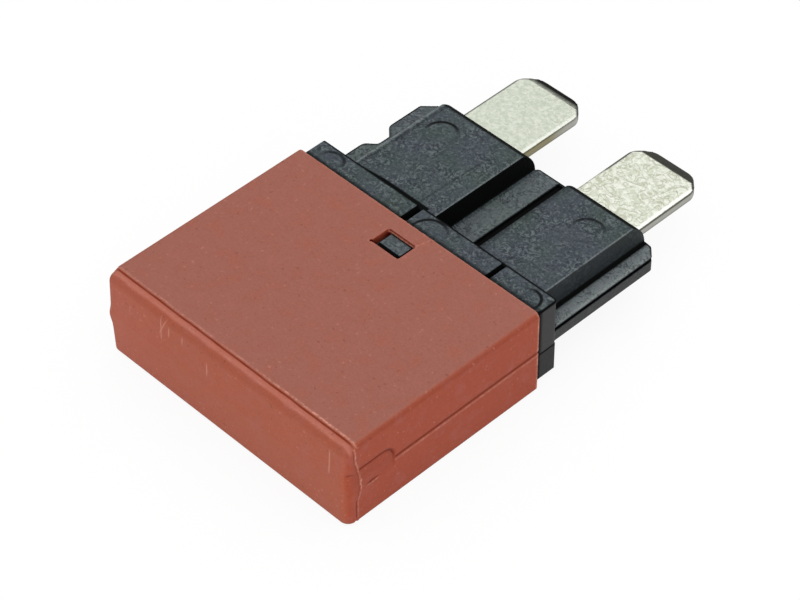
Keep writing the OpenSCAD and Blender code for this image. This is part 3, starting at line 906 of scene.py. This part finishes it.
def leg_lines(at, normals):
    """Painted shade: the seam at the collar, the channel and slot of the web, the strip under the slim leg,
    and a faint line on the wide leg.

    The seam widens along the wide leg up to the first slit.
    """
    slit = COLLAR_SLITS[0][1]
    seam_end = LEG_Y + 0.19 + 0.2 * within(at.u, -4.6, slit, 2) * (at.u < slit) * (at.high > 2)
    seam = within(at.y, LEG_Y - 0.07, seam_end, 0.07) * at.level * (at.out < 9.6)
    channel = within(at.u, WIDE_LEG[1] - 0.02, 1.2, 0.02) * (at.u < 0.2) * at.upright
    channel = channel * (np.abs(normals[:, 0]) > 0.7) * (at.high > 0.85)
    slot = within(at.u, *WEB_SLOT, 0.02) * (at.high < WEB_TOP - 0.06) * at.legs * (at.out < 3)
    under_leg = within(at.u, WEB_SLOT[1] + 0.3, SLIM_LEG[0] + 0.4, 0.4) * at.legs * at.level
    under_leg = under_leg * (at.high < WEB_TOP + 0.1)
    faint = 0.4 * within(at.u, -6.96, -6.86, 0.08) * at.legs * at.level * (at.high > 2)
    return seam + channel + slot + under_leg + faint


def collar_lines(at):
    """Painted shade: the collar's parting line, the shadow along the cap's rim, and the long edges at +X."""
    parting = within(lesser_half(at.x, at.w), COLLAR_LINE - 0.1, COLLAR_LINE + 0.09, 0.03)
    parting = parting * (at.y < LEG_Y + 0.02) * (at.out > COLLAR_HALF - 0.5)
    side_rim = within(at.y, CAP_L, CAP_L + CAP_W / 2 - COLLAR_HALF + 0.1, 0.08) * (at.flat < 0.8)
    top_rim = within(at.y, CAP_L, CAP_L + MID - COLLAR_HALF_T + 0.1, 0.08) * (at.flat > 0.8)
    long_edge = within(at.out, COLLAR_HALF - 0.1, COLLAR_HALF, 0.06) * (at.y < LEG_Y) * (at.x > 0)
    long_edge = long_edge * within(at.high, COLLAR_HALF_T - 0.08, 9, 0.05)
    return parting + 0.75 * (side_rim + top_rim * (at.high > 2)) + long_edge


def flange_lines(at, points, normals):
    """Painted shade: the foot of the slim leg, the groove in the flanges' edge, and the flange's outline at
    -X.
    """
    foot = within(at.out, SLIM_LEG[1] - 0.02, SLIM_LEG[1] + 0.13, 0.05) * at.legs
    groove = within(at.high, GROOVE_W[0] - 0.02, GROOVE_W[1], 0.03) * (at.out > 9.4) * (at.out < 9.62)
    outline = sum(ends_at(base_field, points, normals, aside) for aside in ((-0.16, 0), (-0.12, 0.12)))
    outline = outline * at.legs * at.level * (at.x < -7.5) * (at.high < 0.9)
    return foot * (at.high < 0.9) * (at.x > 0) + groove + 0.7 * outline


def base_painted_shade(at, points, normals):
    """Painted shade in creases, edges that fall away, faces towards the tips, slits, the barb's walls and
    lines.
    """
    crease = closeness(base_field, points, normals, 0.1)
    far_edge = ends_at(base_field, points, normals, (0, 0.16))
    to_tips = np.clip(normals[:, 1] * 3 - 1.2, 0, 1)
    slit = closeness(base_field, points, normals, 0.5) * within(at.y, CAP_L - 1, LEG_Y + 0.05, 0.02)
    barb = within(at.out, 0, 1.3, 0.02) * (at.y < CAP_L - 0.3) * (at.high > 1.8)
    barb = barb * ((at.y < BARB_Y[0] + 0.02) | (at.flat < 0.8))
    painted_shade = np.maximum(1.2 * crease, 1.4 * far_edge) + to_tips + slit * at.upright + barb
    return painted_shade + leg_lines(at, normals) + collar_lines(at) + flange_lines(at, points, normals)


print("At the collar the legs' lines have the strength", leg_lines(base_places(on_leg, UP), UP)[0])

# %% The base's pale places, painted highlights and its mesh


def base_pale_and_highlight(at, points, normals):
    """Painted highlights on the wide leg's outer edge, the legs' edges and the flanges' lip, painted light
    on the flanges' ledges and the web beside its slot, and the barb's paler flat top.
    """
    painted_edge_highlight = within(at.u, WIDE_LEG[0] - 0.1, WIDE_LEG[0] + 0.17, 0.1) * at.legs
    painted_edge_highlight = painted_edge_highlight * (at.high > 2) * (at.flat > 0.4)
    near_edge = ends_at(base_field, points, normals, (0.08, 0)) * (at.y > LEG_Y)
    slope = 0.35 + 0.4 * np.clip((at.out - SLIM_LEG[1]) / 0.9, 0, 1)
    ledge = within(at.out, SLIM_LEG[1], FLANGE_HALF_W) * np.where(at.x > 0, slope, 0.2)
    lip = 0.35 * within(at.out, FLANGE_HALF_W - 0.17, FLANGE_HALF_W, 0.04) * (at.x > 0)
    web = 0.3 * within(at.u, 0.0, WEB_SLOT[0]) * (at.high < 1)
    catch = 0.12 * at.level * (at.y > BARB_Y[0]) * (at.y < CAP_L - 0.3) * (at.high > 2.8)
    return 0.6 * near_edge + 0.54 * painted_edge_highlight + (ledge + lip + web) * at.level * at.legs + catch


def base_looks(points, normals):
    """The four masks of the black plastic: painted shade on walls, smooth walls, painted shade, highlights.
    """
    at = base_places(points, normals)
    shade, smooth = base_walls(at)
    return {"shade": shade, "smooth": smooth, "painted_shade": base_painted_shade(at, points, normals),
            "pale_and_highlight": base_pale_and_highlight(at, points, normals)}


def mirrored(*stretches):
    """The same stretches on both sides of zero."""
    return [*stretches, *[(-b, -a, s) for a, b, s in stretches]]


def make_base():
    """Lattice lines crowd at every wall, slit and step, on both sides of the middle."""
    end = CLOSED_END
    xs = ruler(-10, 10, 0.26, *mirrored((9.35, 10, 0.06), (8.5, 8.75, 0.06), (6.9, 7.35, 0.06),
                                        (5.38, 5.87, 0.06), (3.15, 3.35, 0.06), (1.4, 2.15, 0.07),
                                        (0.15, 0.35, 0.06), (0.75, 1.0, 0.06)))
    ys = ruler(end + PLUG_Y - 0.1, end + PLATE_Y + 0.1, 0.25, (end + 13.2, end + 14.3, 0.08),
               (end + 15.4, end + 15.6, 0.05), (end + 16.5, end + 17.0, 0.1),
               (end + 17.0, end + 17.8, 0.05), (end + 22.0, end + 22.2, 0.12),
               (end + 24.8, end + PLATE_Y - 0.3, 0.09), (end + PLATE_Y - 0.3, end + PLATE_Y + 0.1, 0.05))
    zs = ruler(0.2, 6.15, 0.2, *[(MID + a, MID + b, s) for a, b, s in mirrored(
        (0.0, 0.75, 0.055), (2.35, 2.9, 0.05))])
    print("The base's lattice has", len(xs), "x", len(ys), "x", len(zs), "lines")
    return skin("base_moulding", base_field, xs, ys, zs, base_looks)


base_moulding = make_base()
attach(base_moulding, "root")
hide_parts("base")

# %% [markdown]
# The two blades were stamped from tinned brass strip, so their edges are a little rolled and their tips
# are coined to a bevel that guides them into the holder. The right one is set down inside the cap to carry
# the fixed contact: its middle plane follows a straight slope, which the field subtracts before it
# measures the thickness.

# %% The terminals' form
tin_low, tin_high = (np.array(c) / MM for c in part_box("terminal_left"))
BLADE_W = tin_high[0] - tin_low[0]
BLADE_T = tin_high[2] - tin_low[2]
BLADE_X = (tin_high[0] + tin_low[0]) / 2
INNER_Y = tin_low[1] - CLOSED_END
TIP_Y = tin_high[1] - CLOSED_END
# The tip's cut corners, the corners' radii at both ends, and the bevel's length and depth on each face.
TIP_CUT = 1.0
TIP_R = 0.3
INNER_R = 0.4
BEVEL_L = 0.66
BEVEL_T = 0.13
# How far the right blade is set down, and where its slope begins and ends.
SET_DOWN = 1.0
SET_Y = (9.4, 10.8)
# The hole that locks each blade in the base: its distance from the closed end, and its radius.
LOCK_HOLE = (PLUG_Y + 1.75, 0.9)
# The strip's middle, the rivets that hold it, and the fixed contact's hole.
STRIP_Y = INNER_Y + 2.8
RIVET_X = -5.725
RIVET_PITCH = 2.4
RIVET_HOLE_R = 0.43
CONTACT_HOLE_R = 0.53


def blade_field(centre_x, drop, holes):
    """A field for one terminal: a strip with its corners cut, its tip bevelled and its holes taken out.

    Each hole is its x, its distance from the closed end and its radius.
    """
    def field(x, y, z):
        """How far a point lies outside this terminal."""
        y = y - CLOSED_END
        w = z - MID + drop * np.clip((SET_Y[1] - y) / (SET_Y[1] - SET_Y[0]), 0, 1)
        side = np.abs(x - centre_x) - BLADE_W / 2
        cut = (side + y - TIP_Y + TIP_CUT) / np.sqrt(2)
        plan = both(TIP_R, both(TIP_R, side, cut), y - TIP_Y)
        plan = np.maximum(plan, both(INNER_R, side, INNER_Y - y))
        lean = np.arctan2(BEVEL_T, BEVEL_L)
        bevel = (np.abs(w) - BLADE_T / 2) * np.cos(lean) + (y - TIP_Y + BEVEL_L) * np.sin(lean)
        body = both(np.where(w > 0, 0.14, 0.05), plan, np.abs(w) - BLADE_T / 2)
        body = np.maximum(body, bevel)
        for x0, y0, r in holes:
            body = without(0.04, body, np.hypot(x - x0, y - y0) - r)
        return body
    return field


def blade_looks(points, normals):
    """Masks: painted shade on the bevel, the outline at -X and the foot, a painted highlight on the rim at
    +X, cut edges, and fine lines of painted shade along those.

    The outline is where a point's distance to the blade's edge in plan is near zero.
    """
    x, y, z = points.T
    y = y - CLOSED_END
    flat = np.abs(normals[:, 2])
    upright = flat < 0.7
    right = x > 0
    across = x - np.where(right, -BLADE_X, BLADE_X)
    off_side = np.abs(across) - BLADE_W / 2
    from_tip = y - TIP_Y
    cut = (off_side + from_tip + TIP_CUT) / np.sqrt(2)
    edge = np.maximum(off_side, cut)
    # Painted shade: the bevel, as a painted dark reflection, the outline at -X and the foot by the leg.
    bevel = np.clip((from_tip + BEVEL_L + 0.06) / np.where(right, 0.1, 0.42), 0, 1) * (flat > 0.3)
    outline = np.clip(1.6 - np.abs(edge + 0.06) / 0.1, 0, 1) * ((across < 0) | (cut > off_side))
    outline = outline * (z > MID - 0.1) * np.where(right, within(y, 30, 99, 1), 0.8)
    foot = within(y, NOSE_Y - 1, NOSE_Y + 0.02, 0.1)
    # A painted highlight along the rolled rim at +X, and painted shade as lines under it and along the lower
    # edge.
    rim = np.clip(1.3 - np.abs(edge + 0.17) / 0.12, 0, 1) * (flat > 0.6) * (across > 0)
    rim = rim * (from_tip < -BEVEL_L) * np.where(right, 1.0, 0.5)
    under_rim = within(z, MID + 0.17, MID + 0.32, 0.04) * upright * np.where(right, 0.75, 0.2)
    low_line = within(z, MID - BLADE_T, MID - BLADE_T / 2 + 0.1, 0.06) * upright * 0.5
    return {"painted_shade": np.maximum(np.maximum(bevel, outline), foot), "pale_and_highlight": rim, "edge": upright * 1.0,
            "line": np.maximum(under_rim, low_line)}


def make_blade(name, node, centre_x, drop, holes):
    """One terminal in place of its plain solid."""
    box_low, box_high = (np.array(c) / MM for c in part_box(node))
    left, right = box_low[0], box_high[0]
    end = CLOSED_END
    xs = ruler(left - 0.1, right + 0.1, 0.3, (left - 0.1, left + 0.4, 0.05), (right - 0.4, right + 0.1, 0.05))
    ys = ruler(end + INNER_Y - 0.1, end + TIP_Y + 0.1, 0.3, (end + TIP_Y - 1.2, end + TIP_Y + 0.1, 0.06))
    zs = ruler(box_low[2] - 0.1, box_high[2] + 0.1, 0.07)
    blade = skin(name, blade_field(centre_x, drop, holes), xs, ys, zs, blade_looks)
    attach(blade, "root")
    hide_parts(node)
    return blade


rivet_holes = [(RIVET_X, STRIP_Y + side * RIVET_PITCH / 2, RIVET_HOLE_R) for side in (-1, 1)]
blade_left = make_blade("blade_left", "terminal_left", BLADE_X, 0.0, [(BLADE_X, *LOCK_HOLE), *rivet_holes])
blade_right = make_blade("blade_right", "terminal_right", -BLADE_X, SET_DOWN,
                         [(-BLADE_X, *LOCK_HOLE), (-BLADE_X, STRIP_Y, CONTACT_HOLE_R)])
print("The blades are", round(float(BLADE_W), 2), "mm wide and", round(float(BLADE_T), 2), "mm thick")

# %% [markdown]
# Inside the cap a bowed strip of bimetal bridges the terminals and lifts the moving contact when it is
# hot. Nobody sees it in the picture. Here it is a sheet that is a function of two parameters: one runs along
# the strip and gives a cosine bow, the other runs round its rounded rectangle of a section.

# %% The bimetal strip
strip_low, strip_high = (np.array(c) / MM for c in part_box("bimetal_strip"))
# The strip's thickness, the radius of its edges, and where its bow begins and ends.
STRIP_T = 0.25
STRIP_R = 0.06
BOW_X = (-3.825, 3.225)


def strip_surface(columns=140, rounds=48):
    """Points and faces of a closed tube: the section slides along X and rides up and down on the bow.

    The section is a small circle with a stretched and clipped one added, which moves its quarters apart.
    """
    along = np.linspace(strip_low[0], strip_high[0], columns)
    phase = np.clip((along - BOW_X[0]) / (BOW_X[1] - BOW_X[0]), 0, 1)
    bow_h = strip_high[2] - strip_low[2] - STRIP_T
    lift = bow_h * (1 - np.cos(2 * np.pi * phase)) / 2
    angle = np.linspace(0, 2 * np.pi, rounds, endpoint=False)
    half_w = (strip_high[1] - strip_low[1]) / 2
    corner_y = np.clip(np.cos(angle) * 40, -1, 1) * (half_w - STRIP_R) + np.cos(angle) * STRIP_R
    corner_z = np.clip(np.sin(angle) * 1.2, -1, 1) * (STRIP_T / 2 - STRIP_R) + np.sin(angle) * STRIP_R
    x = np.repeat(along, rounds)
    y = np.tile(corner_y, columns) + (strip_low[1] + strip_high[1]) / 2
    z = np.tile(corner_z, columns) + np.repeat(lift, rounds) + strip_low[2] + STRIP_T / 2
    i, j = np.meshgrid(np.arange(columns - 1), np.arange(rounds), indexing="ij")
    k = (j + 1) % rounds
    ring = np.stack([i * rounds + k, (i + 1) * rounds + k, (i + 1) * rounds + j, i * rounds + j], -1)
    first_end = list(range(rounds - 1, -1, -1))
    last_end = list(range((columns - 1) * rounds, columns * rounds))
    return np.stack([x, y, z], 1), ring.reshape(-1, 4).tolist() + [first_end, last_end]


bimetal_spring = mesh_object("bimetal_spring", *strip_surface())
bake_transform(bimetal_spring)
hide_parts("bimetal_strip")
print("The strip's bow rises", round(float(strip_high[2] - strip_low[2] - STRIP_T), 2), "mm")

# %% [markdown]
# The cap is a moulded thermoset or filled polyester. Its broad faces come from spark eroded steel and are
# matt and grained, and get a greyer painted sheen, while the closed end and the narrow sides come from
# smoother steel and keep a deeper brick red, deepest on the narrow sides as painted shade, and paler between
# the nose's crest and the slide's line. The cap is painted a little darker towards +X. Grains of filler show
# as pale and dark specks, flash and worn edges are paler, the window's far wall and the open rim get painted
# light, the mould's grooves, deep places and the edge by the floor hold painted shade, and the closed end
# has thin upright scuffs. Grain and specks are drawn coarser than they are, so that they show.

# %% Red moulding
# Sizes of the patterns: clouds of colour, swells of the surface, grain, specks, and crumbs in the flash.
RED_CLOUD = 1.2
RED_SWELL = 1.4
RED_GRAIN = 0.13
RED_SPECK = 0.22
RED_CRUMB = 0.17
# The closed end's scuffs, each from one (x, z) to another.
SCUFFS = (((-5.27, 4.3), (-5.27, 6.1)), ((-5.39, 4.7), (-4.67, 6.3)), ((-4.62, 4.9), (-4.56, 5.6)),
          ((-3.46, 5.1), (-3.42, 5.6)), ((-1.37, 4.1), (-1.36, 5.0)), ((8.72, 3.8), (8.77, 5.5)))


def red_moulding():
    """Matt brick red plastic with specks, scuffs, paler flash, painted sheen on broad faces and painted
    shade.
    """
    material, tree, where, mask = new_material("red_matt_polyester", "painted_shade", "pale_and_highlight", "flank_shade", "matt_and_sheen",
                                               "band", "line")
    cloud = add(tree, "TexNoise", {"Vector": where, "Scale": size_mm(RED_CLOUD), "Detail": 3.0,
                                   "Roughness": 0.6})
    warm = add(tree, "MapRange", {"Value": cloud, "From Min": 0.5, "From Max": 0.7, "To Max": 0.25})
    cool = add(tree, "MapRange", {"Value": cloud, "From Min": 0.5, "From Max": 0.3, "To Max": 0.3})
    grain = add(tree, "TexNoise", {"Vector": where, "Scale": size_mm(RED_GRAIN), "Detail": 2.0,
                                   "Roughness": 0.7})
    fine = add(tree, "MapRange", {"Value": grain, "From Min": 0.35, "From Max": 0.7, "To Max": 0.2})
    filler = add(tree, "TexNoise", {"Vector": where, "Scale": size_mm(RED_SPECK), "Detail": 0.0})
    pale_speck = add(tree, "MapRange", {"Value": filler, "From Min": 0.75, "From Max": 0.85, "To Max": 0.35})
    dark_speck = add(tree, "MapRange", {"Value": filler, "From Min": 0.24, "From Max": 0.16, "To Max": 0.45})
    place = add(tree, "SeparateXYZ", {0: where}).outputs
    scuffs = 0.0
    for start, end in SCUFFS:
        scuff = stroke(tree, place["X"], place["Z"], start, end, 0.07, 0.5)
        scuffs = add(tree, "Math", {0: scuffs, 1: scuff}, operation="MAXIMUM")
    at_end = add(tree, "MapRange", {"Value": place["Y"], "From Min": (CLOSED_END + 0.3) * MM,
                                    "From Max": (CLOSED_END + 0.1) * MM, "To Max": scuffs})
    crumbs = add(tree, "TexNoise", {"Vector": where, "Scale": size_mm(RED_CRUMB), "Detail": 2.0})
    crumbs = add(tree, "MapRange", {"Value": crumbs, "From Min": 0.42, "From Max": 0.6, "To Min": 0.3})
    # Pale flash and worn edges, and painted light on the window's far wall and the rim, all broken into
    # crumbs.
    flash_and_highlight = add(tree, "Math", {0: mask["pale_and_highlight"], 1: crumbs}, operation="MULTIPLY")
    # Painted shade: the cap turns a little darker from x = -9 mm to -4 mm and stays so towards +X.
    painted_shade_to_right = add(tree, "MapRange", {"Value": place["X"], "From Min": -9 * MM, "From Max": -4 * MM})
    # Painted light among these covers: the shade towards +X, the flanks' shade, the broad faces' sheen, the
    # light in the pale mask, the grooves' shade and the shade of deep places.
    base = layered(tree, "#ab5b47", (painted_shade_to_right, "#a75841"), (mask["flank_shade"], "#a04932"),
                   (mask["matt_and_sheen"], "#996053"), (mask["band"], "#b36c5c"), (warm, "#a9553c"), (cool, "#a5625a"),
                   (fine, "#653529"), (pale_speck, "#bf8272"), (dark_speck, "#74402f"), (at_end, "#c98c7b"),
                   (flash_and_highlight, "#cb8d7b"), (mask["line"], "#742203"), (mask["painted_shade"], "#560f05"))
    swell = add(tree, "TexNoise", {"Vector": where, "Scale": size_mm(RED_SWELL), "Detail": 1.0})
    relief = add(tree, "Bump", {"Height": swell, "Strength": 0.12, "Distance": 0.05 * MM})
    relief = add(tree, "Bump", {"Height": grain, "Strength": 0.5, "Distance": 0.02 * MM, "Normal": relief})
    gloss = add(tree, "MapRange", {"Value": mask["matt_and_sheen"], "To Min": 0.5, "To Max": 0.62})
    shader = add(tree, "BsdfPrincipled", {"Base Color": base, "Roughness": gloss, "IOR": 1.5,
                                          "Specular IOR Level": 0.1, "Normal": relief})
    add(tree, "OutputMaterial", {"Surface": shader})
    return material


cap_shell.data.materials.append(red_moulding())
print("The red moulding takes", len(cap_shell.data.materials[0].node_tree.nodes), "nodes")

# %% [markdown]
# The base is black glass filled nylon from a spark eroded mould. Under the wide lamp its faces are a blue
# grey with light grit and curdled squiggles, both drawn coarser than they are, so that they show. Anything
# deep is painted black as shade, walls get painted shade, and edges and ledges get painted highlights.

# %% Black moulding
# Sizes of the patterns: clouds of tint, patches of stronger and weaker squiggles, squiggles, and grit.
BLACK_CLOUD = 3.5
BLACK_PATCH = 1.5
BLACK_CURD = 0.45
BLACK_GRIT = 0.18


def pin_shadows_and_line(tree, place):
    """Painted shadow arcs of the pin marks, and the insert's faint line. A half turn carries them to the
    lower face.
    """
    height = add(tree, "Math", {0: place["Z"], 1: MID * MM}, operation="SUBTRACT")
    face = add(tree, "Math", {0: height}, operation="SIGN")
    u = add(tree, "Math", {0: place["X"], 1: face}, operation="MULTIPLY")
    flat = add(tree, "CombineXYZ", {0: u, 1: place["Y"]})
    end = CLOSED_END
    ring_shadows_and_line = stroke(tree, u, place["Y"], (-1.93, end + 17.4), (-1.75, end + 23.0), 0.1, 0.35)
    for (centre_x, centre_y), radius, darkest, strength in PIN_MARKS:
        ring = arc(tree, flat, (centre_x, centre_y + end), radius, darkest, 0.15, strength)
        ring_shadows_and_line = add(tree, "Math", {0: ring_shadows_and_line, 1: ring}, operation="MAXIMUM")
    high = add(tree, "Math", {0: height}, operation="ABSOLUTE")
    return add(tree, "MapRange", {"Value": high, "From Min": 2.3 * MM, "From Max": 2.4 * MM, "To Max": ring_shadows_and_line})


def black_moulding():
    """Dark spark eroded nylon: curdled light squiggles on slate and green, black painted shade, highlights.
    """
    material, tree, where, mask = new_material("black_spark_eroded_nylon", "shade", "smooth", "painted_shade", "pale_and_highlight")
    ring_shadows_and_line = pin_shadows_and_line(tree, add(tree, "SeparateXYZ", {0: where}).outputs)
    cloud = add(tree, "TexNoise", {"Vector": where, "Scale": size_mm(BLACK_CLOUD), "Detail": 2.0})
    cloud = add(tree, "MapRange", {"Value": cloud, "From Min": 0.4, "From Max": 0.6})
    curd = add(tree, "TexNoise", {"Vector": where, "Scale": size_mm(BLACK_CURD), "Detail": 2.0,
                                  "Roughness": 0.5, "Distortion": 0.8})
    ripple = add(tree, "Math", {0: curd, 1: 22.0}, operation="MULTIPLY")
    ripple = add(tree, "Math", {0: ripple}, operation="SINE")
    patch = add(tree, "TexNoise", {"Vector": where, "Scale": size_mm(BLACK_PATCH), "Detail": 1.0})
    patch = add(tree, "MapRange", {"Value": patch, "From Min": 0.4, "From Max": 0.6, "To Min": 0.15,
                                   "To Max": 0.65})
    crest = add(tree, "MapRange", {"Value": ripple, "From Min": 0.5, "From Max": 1.0, "To Max": patch})
    dip = add(tree, "MapRange", {"Value": ripple, "From Min": -0.4, "From Max": -1.0, "To Max": patch})
    grit = add(tree, "TexNoise", {"Vector": where, "Scale": size_mm(BLACK_GRIT), "Detail": 2.0,
                                  "Roughness": 0.7})
    light = add(tree, "MapRange", {"Value": grit, "From Min": 0.55, "From Max": 0.72, "To Max": 0.55})
    pit = add(tree, "MapRange", {"Value": grit, "From Min": 0.43, "From Max": 0.28, "To Max": 0.7})
    # Painted light among these covers: the highlights, the walls' shade, the pin rings' shadows and the black
    # painted shade.
    base = layered(tree, "#424950", (cloud, "#3f4a48"), (mask["pale_and_highlight"], "#868d8d"), (dip, "#1f262b"),
                   (crest, "#6b7474"), (light, "#737a7c"), (pit, "#1b2024"), (mask["smooth"], "#393838"),
                   (mask["shade"], "#14181b"), (ring_shadows_and_line, "#030405"), (mask["painted_shade"], "#020303"))
    relief = add(tree, "Bump", {"Height": ripple, "Strength": 0.15, "Distance": 0.02 * MM})
    relief = add(tree, "Bump", {"Height": grit, "Strength": 0.6, "Distance": 0.03 * MM, "Normal": relief})
    gloss = add(tree, "MapRange", {"Value": mask["painted_shade"], "To Min": 0.5, "To Max": 0.9})
    shader = add(tree, "BsdfPrincipled", {"Base Color": base, "Roughness": gloss, "IOR": 1.5,
                                          "Specular IOR Level": 0.1, "Normal": relief})
    add(tree, "OutputMaterial", {"Surface": shader})
    return material


base_moulding.data.materials.append(black_moulding())
print("The black moulding takes", len(base_moulding.data.materials[0].node_tree.nodes), "nodes")

# %% [markdown]
# The blades are hot dipped tin over brass. Tin flows in small pools as it sets, so the faces are mottled
# and have thin curdled veins, more of them on the right blade than on the left. The coined bevel of the
# tip is painted darker as a reflection, the rolled upper edges get a painted highlight with painted shade
# under it, and bare brass shows on the left blade's cut edges, near the leg.

# %% Tinned brass
# Sizes of the patterns: pools of tin, and the waves whose crests are the veins.
TIN_POOL = 0.32
TIN_WAVE = 0.9
# Bare brass fades between these distances from the cap's closed end.
BRASS_FADE_Y = (29.3, 31.0)


def tinned_brass():
    """Pale mottled tin with veins and bare brass, painted shade on bevel and outline, painted rim highlights.
    """
    material, tree, where, mask = new_material("tinned_brass_strip", "painted_shade", "pale_and_highlight", "edge", "line")
    place = add(tree, "SeparateXYZ", {0: where}).outputs
    right = add(tree, "MapRange", {"Value": place["X"], "From Min": -0.5 * MM, "From Max": 0.5 * MM})
    pool = add(tree, "TexNoise", {"Vector": where, "Scale": size_mm(TIN_POOL), "Detail": 3.0,
                                  "Roughness": 0.6, "Distortion": 0.6})
    fleck = add(tree, "MapRange", {"Value": right, "To Min": 0.5, "To Max": 0.85})
    mottle = add(tree, "MapRange", {"Value": pool, "From Min": 0.38, "From Max": 0.62, "To Max": fleck})
    wave = add(tree, "TexNoise", {"Vector": where, "Scale": size_mm(TIN_WAVE), "Detail": 2.0,
                                  "Distortion": 1.2})
    ripple = add(tree, "Math", {0: wave, 1: 16.0}, operation="MULTIPLY")
    ripple = add(tree, "Math", {0: ripple}, operation="SINE")
    depth = add(tree, "MapRange", {"Value": right, "To Min": 0.12, "To Max": 0.6})
    vein = add(tree, "MapRange", {"Value": ripple, "From Min": 0.75, "From Max": 1.0, "To Max": depth})
    to_tip = add(tree, "MapRange", {"Value": place["Y"], "From Min": (CLOSED_END + BRASS_FADE_Y[0]) * MM,
                                    "From Max": (CLOSED_END + BRASS_FADE_Y[1]) * MM})
    bare = add(tree, "Math", {0: 0.85, 1: to_tip}, operation="SUBTRACT")
    bare = add(tree, "Math", {0: bare, 1: right}, operation="SUBTRACT", use_clamp=True)
    brass = add(tree, "Math", {0: bare, 1: mask["edge"]}, operation="MULTIPLY")
    right_painted_shade = add(tree, "Math", {0: mask["painted_shade"], 1: right}, operation="MULTIPLY")
    # Painted light among these covers: the rims' highlight, the shade lines, and the shade on bevel, outline
    # and foot, greyer on the right blade.
    base = layered(tree, "#bcc3b3", (right, "#c4c9b7"), (mottle, "#eceee3"), (vein, "#a9ab93"),
                   (mask["pale_and_highlight"], "#fafbf4"), (mask["edge"], "#a6a69e"), (brass, "#857c56"),
                   (mask["line"], "#3a3a35"), (mask["painted_shade"], "#1b1c18"), (right_painted_shade, "#4f4f49"))
    relief = add(tree, "Bump", {"Height": pool, "Strength": 0.35, "Distance": 0.05 * MM})
    relief = add(tree, "Bump", {"Height": vein, "Strength": 0.4, "Distance": 0.02 * MM, "Normal": relief})
    gloss = add(tree, "MapRange", {"Value": pool, "From Min": 0.3, "From Max": 0.7, "To Min": 0.32,
                                   "To Max": 0.42})
    shader = add(tree, "BsdfPrincipled", {"Base Color": base, "Metallic": 1.0, "Roughness": gloss,
                                          "Normal": relief})
    add(tree, "OutputMaterial", {"Surface": shader})
    return material


tin = tinned_brass()
for blade in (blade_left, blade_right):
    blade.data.materials.append(tin)
print("The tinned brass takes", len(tin.node_tree.nodes), "nodes")

# %% [markdown]
# The parts of the switch keep their plain solids and get metal finishes of their own: rolled bimetal,
# stamped brass and coined silver.

# %% Metals inside the cap


def plain_metal(name, code, roughness, scratch):
    """A satin metal with faint rolling marks, ten times as long along X as across it."""
    material, tree, where, _ = new_material(name)
    along = add(tree, "Mapping", {"Vector": where, "Scale": (0.1, 1, 1)})
    marks = add(tree, "TexNoise", {"Vector": along, "Scale": size_mm(scratch), "Detail": 3.0})
    gloss = add(tree, "MapRange", {"Value": marks, "From Min": 0.3, "From Max": 0.7,
                                   "To Min": roughness - 0.08, "To Max": roughness + 0.08})
    relief = add(tree, "Bump", {"Height": marks, "Strength": 0.2, "Distance": 0.01 * MM})
    shader = add(tree, "BsdfPrincipled", {"Base Color": linear(code), "Metallic": 1.0, "Roughness": gloss,
                                          "Normal": relief})
    add(tree, "OutputMaterial", {"Surface": shader})
    return material


def dress(node, material):
    """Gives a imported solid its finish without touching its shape."""
    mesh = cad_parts[node].data
    mesh.materials.clear()
    mesh.materials.append(material)


bimetal_spring.data.materials.append(plain_metal("rolled_bimetal", "#b0a284", 0.35, 0.1))
stamped_brass = plain_metal("stamped_brass", "#c9a765", 0.3, 0.12)
coined_silver = plain_metal("coined_silver", "#dcdad5", 0.28, 0.15)
for node in ("clamp_plate", "anchor_rivets"):
    dress(node, stamped_brass)
for node in ("fixed_contact", "moving_contact"):
    dress(node, coined_silver)
print("Materials:", ", ".join(m.name for m in bpy.data.materials))

# %% [markdown]
# The picture is shown with the Standard view, which keeps colours as they are written.

# %% The view
bpy.context.scene.view_settings.view_transform = "Standard"
